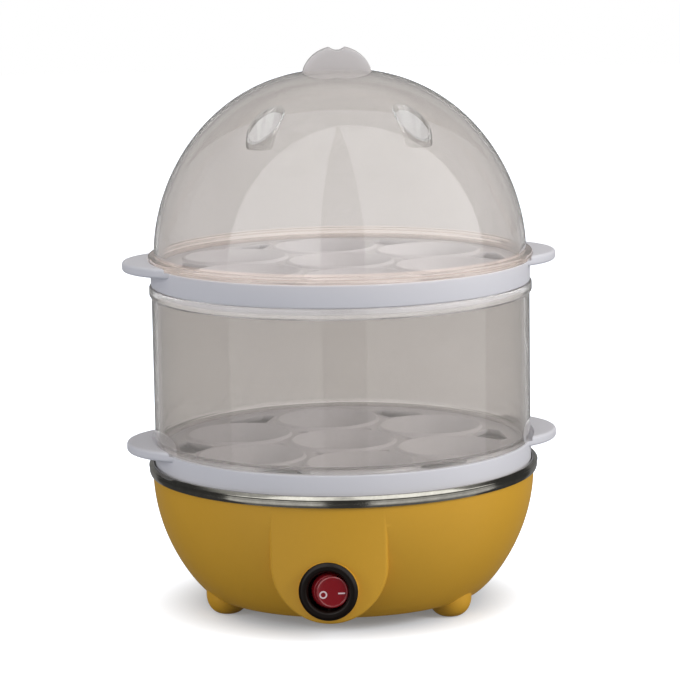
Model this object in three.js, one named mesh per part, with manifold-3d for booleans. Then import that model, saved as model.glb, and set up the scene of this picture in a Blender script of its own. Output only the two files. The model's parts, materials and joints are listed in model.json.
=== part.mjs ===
// A two-tier electric steam boiler for the kitchen table.
// Millimetres, +Z up. The origin is on the table, on the axis of the round base.
// The switch faces -Y. Trays, wall and lid stack on the axis and lift straight off.
import * as THREE from 'three';
import { mergeVertices } from 'three/addons/utils/BufferGeometryUtils.js';
import Module from 'manifold-3d';

const wasm = await Module();
wasm.setup();

// Facets of the round forms
const bigFacetCount = 32;
const midFacetCount = 16;
const smallFacetCount = 8;
const switchFacetCount = 20;
const cupFacetCount = 14;
const pegFacetCount = 12;
const bowlStepCount = 7;
const domeStepCount = 8;
const leadFacetCount = 6;
const leadStepCount = 12;

// Clearances
const seatGap = 0.2;
const fitGap = 0.4;
const cutOverrun = 2;

// Base housing
const housingRimRadius = 76.2;
const housingWall = 2.2;
const housingShoulderHeight = 54.25;
const bowlFloorInset = 20.6;
const housingFloorHeight = 6.1;
const bowlRadiusPowerShare = 1.18;
const bowlHeightPowerShare = 1.98;

// Feet of the housing
const footRadius = 8.5;
const footFloorInset = 4.6;
const footFlatRadius = 2.6;
const footCurveHeight = 7.5;
const footCount = 3;
const rearFootDegrees = 88.5;

// Raised apron that carries the switch
const apronHalfWidth = 21.8;
const apronCurveHeight = 22.3;
const apronBottomHeight = 8.4;
const apronTaper = 1.9;
const apronTaperPowerShare = 1.3;
const apronPadRadius = 12;
const apronPadSetback = 0.6;

// Switch body and bezel
const switchHeight = 21.7;
const bezelRadius = 11.3;
const bezelOpeningRadius = 7.75;
const bezelThickness = 2;
const bezelRounding = 0.7;
const switchBodyRadius = 9.7;
const switchBodyDepth = 13;
const switchBackThickness = 2;
const terminalWidth = 4.8;
const terminalThickness = 0.8;
const terminalLength = 7;
const terminalPitch = 6;

// Rocker
const rockerFaceRadius = 6;
const rockerSkirtRadius = 6.9;
const rockerRounding = 0.4;
const rockerFrontReach = 6.5;
const rockerSkirtReach = 3;
const rockerBackReach = 2.5;
const rockerPocketRadius = 5.2;
const rockerPocketReach = 4.6;
const rockerTiltDegrees = 10;
const trunnionRadius = 1.1;
const trunnionReach = 9;
const lampRadius = 1.8;
const lampLength = 6.5;

// Heating pan
const panSheet = 0.7;
const panRollReach = 1.6;
const panRollDrop = 0.15;
const panRollHeight = 4.4;
const panLedgeSetback = 0.7;
const panLedgeDepth = 1.2;
const panLedgeWidth = 2.6;
const panThroatDepth = 4;
const panShoulderInset = 3.4;
const panShoulderDepth = 10.8;
const panFloorInset = 9.5;
const panFloorDepth = 3.5;

// Heater under the pan
const spreaderReach = 12;
const spreaderThickness = 2.5;
const elementPillarGap = 1.1;
const elementTubeRadius = 3.3;
const elementGapDegrees = 44;
const elementStepCount = 18;
const elementFacetCount = 8;
const pinRadius = 1.1;
const pinLength = 5;

// Thermostat and thermal fuse
const thermostatCapRadius = 8;
const thermostatCapHeight = 3;
const thermostatFlangeThickness = 1;
const thermostatFlangeReach = 15;
const thermostatFlangeHalfWidth = 5;
const thermostatBodyRadius = 7.2;
const thermostatBodyHeight = 8;
const smallScrewRadius = 1.4;
const smallScrewHeadRadius = 2.6;
const smallScrewHeadHeight = 1.6;
const thermostatScrewOffset = 11.6;
const fuseRadius = 2;
const fuseLength = 13;
const fusePlaceShare = 0.44;
const fuseClipThickness = 0.8;
const fuseClipWidth = 6;
const fuseClipReach = 11;
const fuseScrewOffset = 7.5;

// Pillars, towers and the screws from below
const pillarPlaceShare = 0.5512;
const pillarRadius = 3.6;
const pillarCount = 3;
const frontPillarDegrees = -90;
const towerRadius = 5.6;
const towerHeight = 8;
const towerBoreRadius = 2.3;
const wellRadius = 4.4;
const wellDepth = 5;
const pillarBoreDepth = 10;
const baseScrewRadius = 1.9;
const baseScrewLength = 11;
const baseScrewHeadRadius = 3.8;
const baseScrewHeadHeight = 2.4;

// Cord inlet and what holds the conductors
const inletHeight = 23;
const inletCollarRadius = 9;
const inletSetback = 4.7;
const glandFlangeRadius = 7.4;
const glandFlangeThickness = 2;
const glandRadius = 5.2;
const glandBoreRadius = 3.3;
const glandLength = 10;
const clampLength = 26;
const clampWidth = 7;
const clampThickness = 3;
const clampInset = 30.5;
const clampBossRadius = 3.4;
const clampBossHeight = 6;
const clampScrewPitch = 19;
const clampScrewLength = 6;
const blockLength = 30;
const blockWidth = 12;
const blockHeight = 11;
const blockClampPitch = 17;
const blockPitch = 9;
const blockBoreRadius = 2;
const leadRadius = 1;
const earthBarrelLength = 4;
const earthBarrelWidth = 2.6;
const earthBarrelHeight = 2.4;
const earthTabRadius = 3.4;
const earthTabThickness = 0.8;
const earthTabOffset = 17;

// Ventilation slots in the floor
const slotCount = 8;
const slotLength = 14;
const slotWidth = 2.6;
const slotCircleRadius = 20;

// Trays: one moulding, used twice
const traySeatClearance = 0.3;
const trayWall = 1.8;
const trayHeight = 8.7;
const trayRimDepth = 1.5;
const trayEdge = 0.5;
const trayLipClearance = 0.6;
const trayLipWall = 1.6;
const trayLipDepth = 3;
const earDiscRadius = 30;
const earDiscInset = 18.7;
const earThickness = 3.9;
const earRise = 1.7;
const earEdge = 0.9;
const earFacetCount = 28;
const cupMouthRadius = 19.6;
const cupThroatRadius = 14.5;
const cupWall = 1.5;
const cupDepth = 8;
const cupBeadHeight = 1;
const cupBeadWidth = 1.4;
const cupCircleInset = 29.7;
const ringCupCount = 6;
const windowBaseInset = 6.7;
const windowShoulderDepth = 5.5;
const windowApexDepth = 7.5;
const windowBaseHalfWidth = 4.2;
const windowShoulderHalfWidth = 5.2;
const ventHoleRadius = 2.2;
const ventHoleCircleRadius = 26;
const trayTurnDegrees = 12.9;

// Clear tier wall
const tierSetback = 0.2;
const tierWall = 1.8;
const tierHeight = 63;
const tierBeadReach = 0.9;
const tierBeadHeight = 4.4;
const beadRounding = 0.6;
const footLipDepth = 1.2;
const footLipWall = 1.5;
const footLipClearance = 0.5;

// Dome lid
const flangeReach = 0.9;
const flangeHeight = 2.9;
const flangeWaist = 0.5;
const domeFlangeWidth = 2.4;
const domeHeight = 71.15;
const domeSkirtHeight = 0.8;
const domeWall = 1.7;
const domeRadiusPowerShare = 2.22;
const domeHeightPowerShare = 1.83;
const knobHalfWidth = 14;
const knobHeight = 8.8;
const knobRoot = 4;
const knobThickness = 8;
const knobWall = 1.8;
const knobNotchRadius = 4.4;
const knobNotchDepth = 1.5;
const steamPocketRadius = 7.75;
const steamPocketOffset = 29;
const steamPocketInset = 31.2;
const steamPocketDrop = 27.5;
const steamPocketWall = 1.1;
const steamHoleRadius = 2.3;
const lidTurnDegrees = 5.5;

const fullTurn = 2 * Math.PI;

// Radii and heights that follow from the sizes above
const housingFloorRadius = housingRimRadius - bowlFloorInset;
const footCircleRadius = housingFloorRadius - footFloorInset;
const apronPadOffset = housingRimRadius - apronPadSetback;
const inletFaceOffset = housingRimRadius - inletSetback;
const clampOffset = inletFaceOffset - clampInset;
const blockOffset = clampOffset - blockClampPitch;
const panRollRadius = housingRimRadius + panRollReach;
const panLedgeOuterRadius = housingRimRadius - panLedgeSetback;
const panThroatRadius = panLedgeOuterRadius - panLedgeWidth;
const panShoulderRadius = panThroatRadius - panShoulderInset;
const panFloorRadius = panShoulderRadius - panFloorInset;
const panRollBottomHeight = housingShoulderHeight - panRollDrop;
const panRollTopHeight = panRollBottomHeight + panRollHeight;
const panLedgeHeight = panRollTopHeight - panLedgeDepth;
const panShoulderHeight = panLedgeHeight - panShoulderDepth;
const panFloorHeight = panShoulderHeight - panFloorDepth;
const pillarCircleRadius = pillarPlaceShare * housingRimRadius;
const elementRadius = pillarCircleRadius - pillarRadius - elementPillarGap - elementTubeRadius;
const spreaderRadius = elementRadius + spreaderReach;
const fuseRoom = elementRadius - elementTubeRadius - thermostatCapRadius;
const fuseOffset = thermostatCapRadius + fusePlaceShare * fuseRoom;
const trayOuterRadius = panLedgeOuterRadius - traySeatClearance;
const trayLipRadius = panThroatRadius - trayLipClearance;
const earDiscOffset = trayOuterRadius - earDiscInset;
const cupCircleRadius = trayOuterRadius - cupCircleInset;
const windowBaseRadius = trayOuterRadius - windowBaseInset;
const windowShoulderRadius = windowBaseRadius - windowShoulderDepth;
const windowApexRadius = windowShoulderRadius - windowApexDepth;
const tierRadius = trayOuterRadius - tierSetback;
const tierBeadRadius = tierRadius + tierBeadReach;
const flangeRadius = trayOuterRadius + flangeReach;
const domeRadius = flangeRadius - domeFlangeWidth;
const steamPocketForward = domeRadius - steamPocketInset;
const housingRimHeight = panLedgeHeight - panSheet - seatGap;
const panUndersideHeight = panFloorHeight - panSheet;
const spreaderTop = panUndersideHeight - seatGap;
const spreaderBottom = spreaderTop - spreaderThickness;
const elementHeight = spreaderBottom - seatGap - elementTubeRadius;
const housingFloorTop = housingFloorHeight + housingWall;
const towerTop = housingFloorTop + towerHeight;
const lowerTrayBase = panLedgeHeight + seatGap;
const tierBase = lowerTrayBase + trayHeight + seatGap;
const upperTrayBase = tierBase + tierHeight + seatGap;
const lidBase = upperTrayBase + trayHeight + seatGap;
const domeSpring = lidBase + flangeHeight + domeSkirtHeight;
const domeTop = domeSpring + domeHeight;
const trayInnerRadius = trayOuterRadius - trayWall;
const trayDeckTop = trayHeight - trayRimDepth;
const trayDeckBottom = trayDeckTop - trayWall;
const footLipRadius = trayInnerRadius - footLipClearance;
const bezelFront = apronPadOffset + bezelThickness;
const rockerPivotOffset = bezelFront - rockerFrontReach;

const finish = (color, roughness, metalness, opacity = 1) =>
  new THREE.MeshStandardMaterial({ color, roughness, metalness, opacity, transparent: opacity < 1 });
const yellowShell = finish(0xc4932f, 0.45, 0);
const whiteTray = finish(0xd6d5da, 0.4, 0);
const clearCover = finish(0xcfcac6, 0.15, 0, 0.45);
const panSteel = finish(0xc9c5b6, 0.22, 1);
const plainSteel = finish(0x9a9a98, 0.4, 1);
const castAluminium = finish(0xa8aaad, 0.5, 1);
const brightBrass = finish(0xb08d4a, 0.35, 1);
const blackNylon = finish(0x15171a, 0.35, 0);
const redRocker = finish(0x9d1f2e, 0.25, 0, 0.85);
const lampGlass = finish(0xf0c9a0, 0.1, 0, 0.5);
const blackRubber = finish(0x1b1b1c, 0.8, 0);
const paleResin = finish(0xd8d2c0, 0.6, 0);
const leadBrown = finish(0x6b3f22, 0.5, 0);
const leadBlue = finish(0x2d4f92, 0.5, 0);
const leadGreen = finish(0x5f8a3a, 0.5, 0);

const radians = (degrees) => (degrees * Math.PI) / 180;
const arc = (start, end, count, place) =>
  Array.from({ length: count + 1 }, (_, i) => place(start + ((end - start) * i) / count));

// Turns a closed three.js geometry into a solid that can be joined and cut
function solidOf(geometry) {
  const bare = geometry.clone();
  for (const name of Object.keys(bare.attributes)) {
    if (name !== 'position') bare.deleteAttribute(name);
  }
  const merged = mergeVertices(bare, 1e-4);
  const corners = merged.index.array;
  const points = merged.attributes.position.array;
  const kept = [];
  let volume = 0;
  for (let i = 0; i < corners.length; i += 3) {
    const [a, b, c] = [corners[i], corners[i + 1], corners[i + 2]];
    if (a === b || b === c || c === a) continue;
    kept.push(a, b, c);
    const at = (n) => new THREE.Vector3().fromArray(points, 3 * n);
    volume += at(a).dot(at(b).cross(at(c)));
  }
  if (volume < 0) kept.reverse();
  return new wasm.Manifold(
    new wasm.Mesh({
      numProp: 3,
      vertProperties: new Float32Array(points),
      triVerts: new Uint32Array(kept),
    }),
  );
}

function geometryOf(solid) {
  const mesh = solid.getMesh();
  const geometry = new THREE.BufferGeometry();
  geometry.setAttribute('position', new THREE.BufferAttribute(new Float32Array(mesh.vertProperties), 3));
  geometry.setIndex(new THREE.BufferAttribute(new Uint32Array(mesh.triVerts), 1));
  return geometry;
}

const cut = (body, ...tools) => tools.reduce((left, tool) => left.subtract(tool), body);
const join = (body, ...others) => others.reduce((left, other) => left.add(other), body);

// Revolves [radius, height] points about +Z
function revolve(profile, facetCount) {
  const points = profile.map(([radius, height]) => new THREE.Vector2(radius, height));
  return solidOf(new THREE.LatheGeometry(points, facetCount).rotateX(Math.PI / 2));
}

// Revolves a closed outline of [radius, height] points that stays off the axis
const revolveRing = (profile, facetCount) => revolve([...profile, profile[0]], facetCount);

// A post along +Z from one height to another
function post(radius, low, high, facetCount, x = 0, y = 0) {
  const geometry = new THREE.CylinderGeometry(radius, radius, high - low, facetCount);
  geometry.rotateX(Math.PI / 2).translate(x, y, (low + high) / 2);
  return solidOf(geometry);
}

function box(width, depth, height, x, y, z) {
  return solidOf(new THREE.BoxGeometry(width, depth, height).translate(x, y, z));
}

// Extrudes an outline of [x, y] points along +Z
function slab(outline, low, high) {
  const shape = new THREE.Shape(outline.map(([x, y]) => new THREE.Vector2(x, y)));
  const geometry = new THREE.ExtrudeGeometry(shape, { depth: high - low, bevelEnabled: false });
  return solidOf(geometry.translate(0, 0, low));
}

// Extrudes an outline of [x, z] points along Y, from the near offset to the far one
function wallSlab(outline, near, far) {
  const shape = new THREE.Shape(outline.map(([x, z]) => new THREE.Vector2(x, z)));
  const geometry = new THREE.ExtrudeGeometry(shape, { depth: far - near, bevelEnabled: false });
  return solidOf(geometry.rotateX(Math.PI / 2).translate(0, far, 0));
}

// Revolves [radius, reach] points about an axis along -Y at a given height; reach grows towards the front
function revolveFront(profile, facetCount, origin, height) {
  const points = profile.map(([radius, reach]) => new THREE.Vector2(radius, reach));
  const geometry = new THREE.LatheGeometry(points, facetCount);
  return solidOf(geometry.rotateX(Math.PI).translate(0, -origin, height));
}

function tube(points, radius, facetCount, stepCount) {
  const path = new THREE.CatmullRomCurve3(points.map(([x, y, z]) => new THREE.Vector3(x, y, z)));
  const section = new THREE.Shape(
    arc(0, fullTurn, facetCount, (a) => new THREE.Vector2(radius * Math.cos(a), radius * Math.sin(a))).slice(0, -1),
  );
  return new THREE.ExtrudeGeometry(section, { steps: stepCount, extrudePath: path, curveSegments: 1 });
}

const boiler = new THREE.Group();
const stackGroup = new THREE.Group();
const lidGroup = new THREE.Group();
stackGroup.rotation.z = radians(trayTurnDegrees);
lidGroup.rotation.z = radians(lidTurnDegrees);
boiler.add(stackGroup, lidGroup);

function place(name, geometry, material, parent = boiler) {
  const mesh = new THREE.Mesh(geometry.isBufferGeometry ? geometry : geometryOf(geometry), material);
  mesh.name = name;
  parent.add(mesh);
  return mesh;
}

const around = (radius, degrees) => [radius * Math.cos(radians(degrees)), radius * Math.sin(radians(degrees))];
const pillarPlaces = Array.from({ length: pillarCount }, (_, i) =>
  around(pillarCircleRadius, frontPillarDegrees + (i * 360) / pillarCount),
);
const footPlaces = Array.from({ length: footCount }, (_, i) =>
  around(footCircleRadius, rearFootDegrees + (i * 360) / footCount),
);

// Side of the bowl from its shoulder to its floor, drawn in by an inset
function bowlSide(inset) {
  const top = housingRimRadius - inset;
  const bottom = housingFloorRadius - inset / 2;
  const floor = housingFloorHeight + inset;
  return arc(0, Math.PI / 2, bowlStepCount, (a) => [
    bottom + (top - bottom) * Math.max(Math.cos(a), 0) ** (2 / bowlRadiusPowerShare),
    housingShoulderHeight - (housingShoulderHeight - floor) * Math.sin(a) ** (2 / bowlHeightPowerShare),
  ]);
}

function bowlSolid(inset, topHeight) {
  const side = bowlSide(inset);
  const floor = side[side.length - 1][1];
  return revolve([[0, topHeight], [side[0][0], topHeight], ...side, [0, floor]], bigFacetCount);
}

// Surface of the apron: nearly upright, drawn in a little towards its foot
function apronSurface(inset) {
  const low = apronBottomHeight - cutOverrun;
  const side = arc(housingShoulderHeight, low, bowlStepCount, (z) => {
    const drop = (housingShoulderHeight - z) / (housingShoulderHeight - apronBottomHeight);
    return [housingRimRadius - inset - apronTaper * drop ** apronTaperPowerShare, z];
  });
  return revolve([[0, housingShoulderHeight], ...side, [0, low]], bigFacetCount);
}

// U-shaped front outline of the apron
function apronOutline(inset) {
  const halfWidth = apronHalfWidth - inset;
  const bottom = apronBottomHeight + inset;
  const spring = apronBottomHeight + apronCurveHeight;
  const curve = arc(0, -Math.PI, midFacetCount, (a) => [
    halfWidth * Math.cos(a),
    spring + (spring - bottom) * Math.sin(a),
  ]);
  return [...curve, [-halfWidth, housingShoulderHeight], [halfWidth, housingShoulderHeight]];
}

function apronSolid(inset) {
  const front = wallSlab(apronOutline(inset), -panRollRadius, -housingFloorRadius + towerRadius);
  return apronSurface(inset).intersect(front);
}

function foot([x, y]) {
  const round = arc(0, Math.PI / 2, 3, (a) => [
    footFlatRadius + (footRadius - footFlatRadius) * Math.sin(a),
    footCurveHeight * (1 - Math.cos(a)),
  ]);
  const top = housingFloorHeight + housingWall;
  const hidden = top + footRadius;
  return revolve([[0, 0], ...round, [footRadius, hidden], [0, hidden]], pegFacetCount)
    .translate(x, y, 0)
    .intersect(bowlSolidAndBelow());
}

// Everything inside the bowl's outer side, carried on down past the table
function bowlSolidAndBelow() {
  const side = bowlSide(0).filter(([radius]) => radius > footCircleRadius + footRadius);
  const lastRadius = side[side.length - 1][0];
  return revolve(
    [[0, housingShoulderHeight], ...side, [lastRadius, -cutOverrun], [0, -cutOverrun]],
    bigFacetCount,
  );
}

function inletCollar() {
  const collar = new THREE.CylinderGeometry(inletCollarRadius, inletCollarRadius, inletFaceOffset - clampOffset, midFacetCount);
  return solidOf(collar.translate(0, (inletFaceOffset + clampOffset) / 2, inletHeight));
}

// A bore along Y through the rear wall
function rearBore(radius, near, far) {
  const bore = new THREE.CylinderGeometry(radius, radius, far - near, midFacetCount);
  return solidOf(bore.translate(0, (near + far) / 2, inletHeight));
}

function floorSlot(index) {
  const half = slotLength / 2 - slotWidth / 2;
  const ends = [0, 1].flatMap((end) =>
    arc(-Math.PI / 2 + end * Math.PI, Math.PI / 2 + end * Math.PI, 2, (a) => [
      (1 - 2 * end) * half + (slotWidth / 2) * Math.cos(a),
      (slotWidth / 2) * Math.sin(a),
    ]),
  );
  const turn = radians(((index + 0.5) * 360) / slotCount);
  const geometry = slab(ends, housingFloorHeight - cutOverrun, housingFloorTop + cutOverrun);
  return geometry.translate(slotCircleRadius, 0, 0).rotate(0, 0, (turn * 180) / Math.PI);
}

function buildHousing() {
  const collar = cut(inletCollar(), bowlSolid(housingWall, housingRimHeight));
  const pad = revolveFront(
    [[0, 0], [apronPadRadius, 0], [apronPadRadius, apronPadOffset - housingFloorRadius], [0, apronPadOffset - housingFloorRadius]],
    midFacetCount,
    housingFloorRadius,
    switchHeight,
  );
  const hollow = join(bowlSolid(housingWall, housingRimHeight + cutOverrun), apronSolid(housingWall));
  const shell = cut(join(bowlSolid(0, housingRimHeight), apronSolid(0), ...footPlaces.map(foot)), hollow);
  const padSkin = cut(pad, apronSolid(housingWall), bowlSolid(housingWall, housingRimHeight));
  const towers = pillarPlaces.map(([x, y]) => post(towerRadius, housingFloorHeight, towerTop, smallFacetCount, x, y));
  const clampBosses = [-1, 1].map((side) =>
    post(
      clampBossRadius,
      housingFloorHeight,
      housingFloorTop + clampBossHeight,
      smallFacetCount,
      (side * clampScrewPitch) / 2,
      clampOffset,
    ),
  );
  const wells = pillarPlaces.flatMap(([x, y]) => [
    post(wellRadius, housingFloorHeight - cutOverrun, housingFloorHeight + wellDepth, smallFacetCount, x, y),
    post(towerBoreRadius, housingFloorHeight, towerTop + cutOverrun, smallFacetCount, x, y),
  ]);
  const clampBores = [-1, 1].map((side) =>
    post(
      smallScrewRadius + seatGap,
      housingFloorTop + clampBossHeight - clampScrewLength,
      housingFloorTop + clampBossHeight + cutOverrun,
      smallFacetCount,
      (side * clampScrewPitch) / 2,
      clampOffset,
    ),
  );
  const switchBore = revolveFront(
    [[0, 0], [switchBodyRadius + fitGap, 0], [switchBodyRadius + fitGap, apronPadOffset], [0, apronPadOffset]],
    midFacetCount,
    housingFloorRadius,
    switchHeight,
  );
  const glandBore = rearBore(glandRadius + seatGap, housingFloorRadius, inletFaceOffset + cutOverrun);
  const glandSeat = rearBore(glandFlangeRadius + fitGap, inletFaceOffset, inletFaceOffset + inletCollarRadius);
  const slots = Array.from({ length: slotCount }, (_, i) => floorSlot(i));
  return cut(
    join(shell, padSkin, collar, ...towers, ...clampBosses),
    ...wells,
    ...clampBores,
    switchBore,
    glandBore,
    glandSeat,
    ...slots,
  );
}

// Dish with its rim rolled out over the housing's edge
function buildPan() {
  const inner = panSheet;
  const rollTop = panRollTopHeight;
  const rollMid = (panLedgeOuterRadius + panRollRadius) / 2;
  const rollEdge = (rollTop - panLedgeHeight) / 2;
  const throatFoot = panLedgeHeight - panThroatDepth;
  const lipRadius = housingRimRadius + seatGap;
  const over = [
    [lipRadius, panRollBottomHeight],
    [panRollRadius - inner, panRollBottomHeight],
    [panRollRadius, panRollBottomHeight + inner],
    [panRollRadius, rollTop - rollEdge],
    [rollMid, rollTop],
    [panLedgeOuterRadius, panLedgeHeight],
    [panThroatRadius, panLedgeHeight],
    [panThroatRadius, throatFoot],
    [panShoulderRadius, panShoulderHeight],
    [panFloorRadius, panFloorHeight],
    [0, panFloorHeight],
  ];
  const under = [
    [0, panUndersideHeight],
    [panFloorRadius + inner / 2, panUndersideHeight],
    [panShoulderRadius + inner * 0.8, panShoulderHeight - inner * 0.6],
    [panThroatRadius + inner, throatFoot - inner / 2],
    [panThroatRadius + inner, panLedgeHeight - inner],
    [panLedgeOuterRadius + inner, panLedgeHeight - inner],
    [rollMid, rollTop - inner],
    [panRollRadius - inner, rollTop - rollEdge - inner / 2],
    [panRollRadius - inner, panRollBottomHeight + inner],
    [lipRadius, panRollBottomHeight + inner],
  ];
  return revolve([...under, ...over], bigFacetCount);
}

const openHalf = radians(elementGapDegrees / 2);
const elementEnd = (side) => [
  side * elementRadius * Math.sin(openHalf),
  elementRadius * Math.cos(openHalf),
];

// Ring tube that starts and ends beside the rear gap, its tails led inwards
function buildElement() {
  const ring = arc(Math.PI / 2 + openHalf, Math.PI / 2 - openHalf + fullTurn, elementStepCount, (a) => [
    elementRadius * Math.cos(a),
    elementRadius * Math.sin(a),
    elementHeight,
  ]);
  return tube(ring, elementTubeRadius, elementFacetCount, elementStepCount);
}

// Cold pin that leaves the tube's end square to it
function buildPin(side) {
  const direction = new THREE.Vector3(side * -Math.cos(openHalf), Math.sin(openHalf), 0);
  const [x, y] = elementEnd(side);
  const start = new THREE.Vector3(x, y, elementHeight).addScaledVector(direction, seatGap);
  const pin = new THREE.CylinderGeometry(pinRadius, pinRadius, pinLength, elementFacetCount);
  pin.applyQuaternion(new THREE.Quaternion().setFromUnitVectors(new THREE.Vector3(0, 1, 0), direction));
  const centre = start.addScaledVector(direction, pinLength / 2);
  return pin.translate(centre.x, centre.y, centre.z);
}

const thermostatTop = spreaderBottom - seatGap;
const thermostatCapBottom = thermostatTop - thermostatCapHeight;

function buildThermostatCap() {
  const cap = post(thermostatCapRadius, thermostatCapBottom, thermostatTop, midFacetCount);
  const flange = box(
    2 * thermostatFlangeReach,
    2 * thermostatFlangeHalfWidth,
    thermostatFlangeThickness,
    0,
    0,
    thermostatTop - thermostatFlangeThickness / 2,
  );
  const holes = [-1, 1].map((side) =>
    post(
      smallScrewRadius + seatGap,
      thermostatCapBottom - cutOverrun,
      thermostatTop + cutOverrun,
      smallFacetCount,
      side * thermostatScrewOffset,
    ),
  );
  return cut(join(cap, flange), ...holes);
}

function buildThermostatBody() {
  const top = thermostatCapBottom - seatGap;
  const body = post(thermostatBodyRadius, top - thermostatBodyHeight, top, midFacetCount);
  const tabs = [-1, 1].map((side) =>
    box(
      terminalThickness,
      terminalWidth,
      terminalLength,
      side * (thermostatBodyRadius - terminalWidth / 2),
      0,
      top - thermostatBodyHeight - terminalLength / 2 + cutOverrun,
    ),
  );
  return join(body, ...tabs);
}

// Screw driven upwards into the spreader, its head below the clamped sheet
function risingScrew(x, y, headTop, shankTop) {
  const head = post(smallScrewHeadRadius, headTop - smallScrewHeadHeight, headTop, smallFacetCount, x, y);
  return join(head, post(smallScrewRadius, headTop - smallScrewHeadHeight / 2, shankTop, smallFacetCount, x, y));
}

function buildSpreader() {
  const disc = post(spreaderRadius, spreaderBottom, spreaderTop, bigFacetCount);
  const holes = [
    [thermostatScrewOffset, 0],
    [-thermostatScrewOffset, 0],
    [fuseScrewOffset, -fuseOffset],
    [0, earthTabOffset],
  ].map(([x, y]) =>
    post(smallScrewRadius + seatGap, spreaderBottom - cutOverrun, spreaderTop + cutOverrun, smallFacetCount, x, y),
  );
  return cut(disc, ...holes);
}

const fuseHeight = spreaderBottom - seatGap - fuseRadius;
const fuseX = -fuseScrewOffset / 2;

// Strap that holds the fuse up against the spreader
function buildFuseClip() {
  const ring = fuseRadius + seatGap + fuseClipThickness;
  const top = spreaderBottom - seatGap;
  const half = midFacetCount / 2;
  const outline = [
    [ring, top],
    ...arc(0, -Math.PI, half, (a) => [ring * Math.cos(a), fuseHeight + ring * Math.sin(a)]),
    [-ring, top],
    [fuseClipThickness - ring, top],
    ...arc(-Math.PI, 0, half, (a) => [
      (ring - fuseClipThickness) * Math.cos(a),
      fuseHeight + (ring - fuseClipThickness) * Math.sin(a),
    ]),
    [ring - fuseClipThickness, top],
  ];
  const strap = wallSlab(outline, -fuseClipWidth / 2, fuseClipWidth / 2);
  const tab = box(
    fuseClipReach - ring + fuseClipThickness,
    fuseClipWidth,
    fuseClipThickness,
    (fuseClipReach + ring - fuseClipThickness) / 2,
    0,
    top - fuseClipThickness / 2,
  );
  const hole = post(
    smallScrewRadius + seatGap,
    top - fuseClipThickness - cutOverrun,
    top + cutOverrun,
    smallFacetCount,
    fuseScrewOffset - fuseX,
  );
  return cut(join(strap, tab), hole).translate(fuseX, -fuseOffset, 0);
}

function buildFuse() {
  const fuse = new THREE.CylinderGeometry(fuseRadius, fuseRadius, fuseLength, smallFacetCount);
  return fuse.translate(fuseX, -fuseOffset, fuseHeight);
}

function buildPillar([x, y]) {
  const low = towerTop + seatGap;
  const pillar = post(pillarRadius, low, spreaderBottom - seatGap, smallFacetCount, x, y);
  const bore = post(baseScrewRadius + fitGap, low - cutOverrun, low + pillarBoreDepth, smallFacetCount, x, y);
  return cut(pillar, bore);
}

function buildBaseScrew([x, y]) {
  const headTop = housingFloorHeight + wellDepth - seatGap;
  const head = post(baseScrewHeadRadius, headTop - baseScrewHeadHeight, headTop, smallFacetCount, x, y);
  const shankFoot = headTop - baseScrewHeadHeight / 2;
  return join(head, post(baseScrewRadius, shankFoot, headTop + baseScrewLength, smallFacetCount, x, y));
}

// Bezel, tube and closed back of the switch in one moulding, bored for the rocker's trunnions
function buildSwitchBody() {
  const depth = bezelThickness + switchBodyDepth;
  const outside = revolveFront(
    [
      [0, -depth],
      [switchBodyRadius, -depth],
      [switchBodyRadius, seatGap - bezelThickness],
      [bezelRadius, seatGap - bezelThickness],
      [bezelRadius, -bezelRounding],
      [bezelRadius - bezelRounding, 0],
      [0, 0],
    ],
    switchFacetCount,
    bezelFront,
    switchHeight,
  );
  const inside = revolveFront(
    [
      [0, switchBackThickness - depth],
      [bezelOpeningRadius, switchBackThickness - depth],
      [bezelOpeningRadius, -bezelRounding],
      [bezelOpeningRadius + bezelRounding, cutOverrun],
      [0, cutOverrun],
    ],
    switchFacetCount,
    bezelFront,
    switchHeight,
  );
  const sockets = post(
    trunnionRadius + fitGap,
    switchHeight - switchBodyRadius - cutOverrun,
    switchHeight + switchBodyRadius + cutOverrun,
    smallFacetCount,
    0,
    -rockerPivotOffset,
  );
  const slots = [-1, 0, 1].map((side) => terminalBlank(side, fitGap));
  return cut(outside, inside, sockets, ...slots);
}

// Blade terminal through the back of the switch
function terminalBlank(side, grow) {
  const back = bezelFront - bezelThickness - switchBodyDepth;
  const length = terminalLength + switchBackThickness + 2 * grow;
  return box(
    terminalThickness + grow,
    length,
    terminalWidth + grow,
    side * terminalPitch,
    -(back + switchBackThickness) + length / 2 - grow,
    switchHeight,
  );
}

function buildRocker() {
  const skin = [
    [0, -rockerBackReach],
    [rockerSkirtRadius, -rockerBackReach],
    [rockerSkirtRadius, rockerSkirtReach],
    [rockerFaceRadius, rockerFrontReach - rockerRounding],
    [rockerFaceRadius - rockerRounding, rockerFrontReach],
    [0, rockerFrontReach],
  ];
  const pocket = [
    [0, -rockerBackReach - cutOverrun],
    [rockerPocketRadius, -rockerBackReach - cutOverrun],
    [rockerPocketRadius, rockerPocketReach],
    [0, rockerPocketReach],
  ];
  const shell = cut(revolveFront(skin, switchFacetCount, 0, 0), revolveFront(pocket, midFacetCount, 0, 0));
  const pins = [-1, 1].map((side) => {
    const inner = side * (rockerSkirtRadius - rockerRounding);
    const outer = side * trunnionReach;
    return post(trunnionRadius, Math.min(inner, outer), Math.max(inner, outer), smallFacetCount);
  });
  return join(shell, ...pins);
}

function buildLamp() {
  const foot = -(bezelFront - bezelThickness - switchBodyDepth) - switchBackThickness;
  const lamp = new THREE.CylinderGeometry(lampRadius, lampRadius, lampLength, smallFacetCount);
  return lamp.translate(0, foot - seatGap - lampLength / 2, switchHeight);
}

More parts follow.
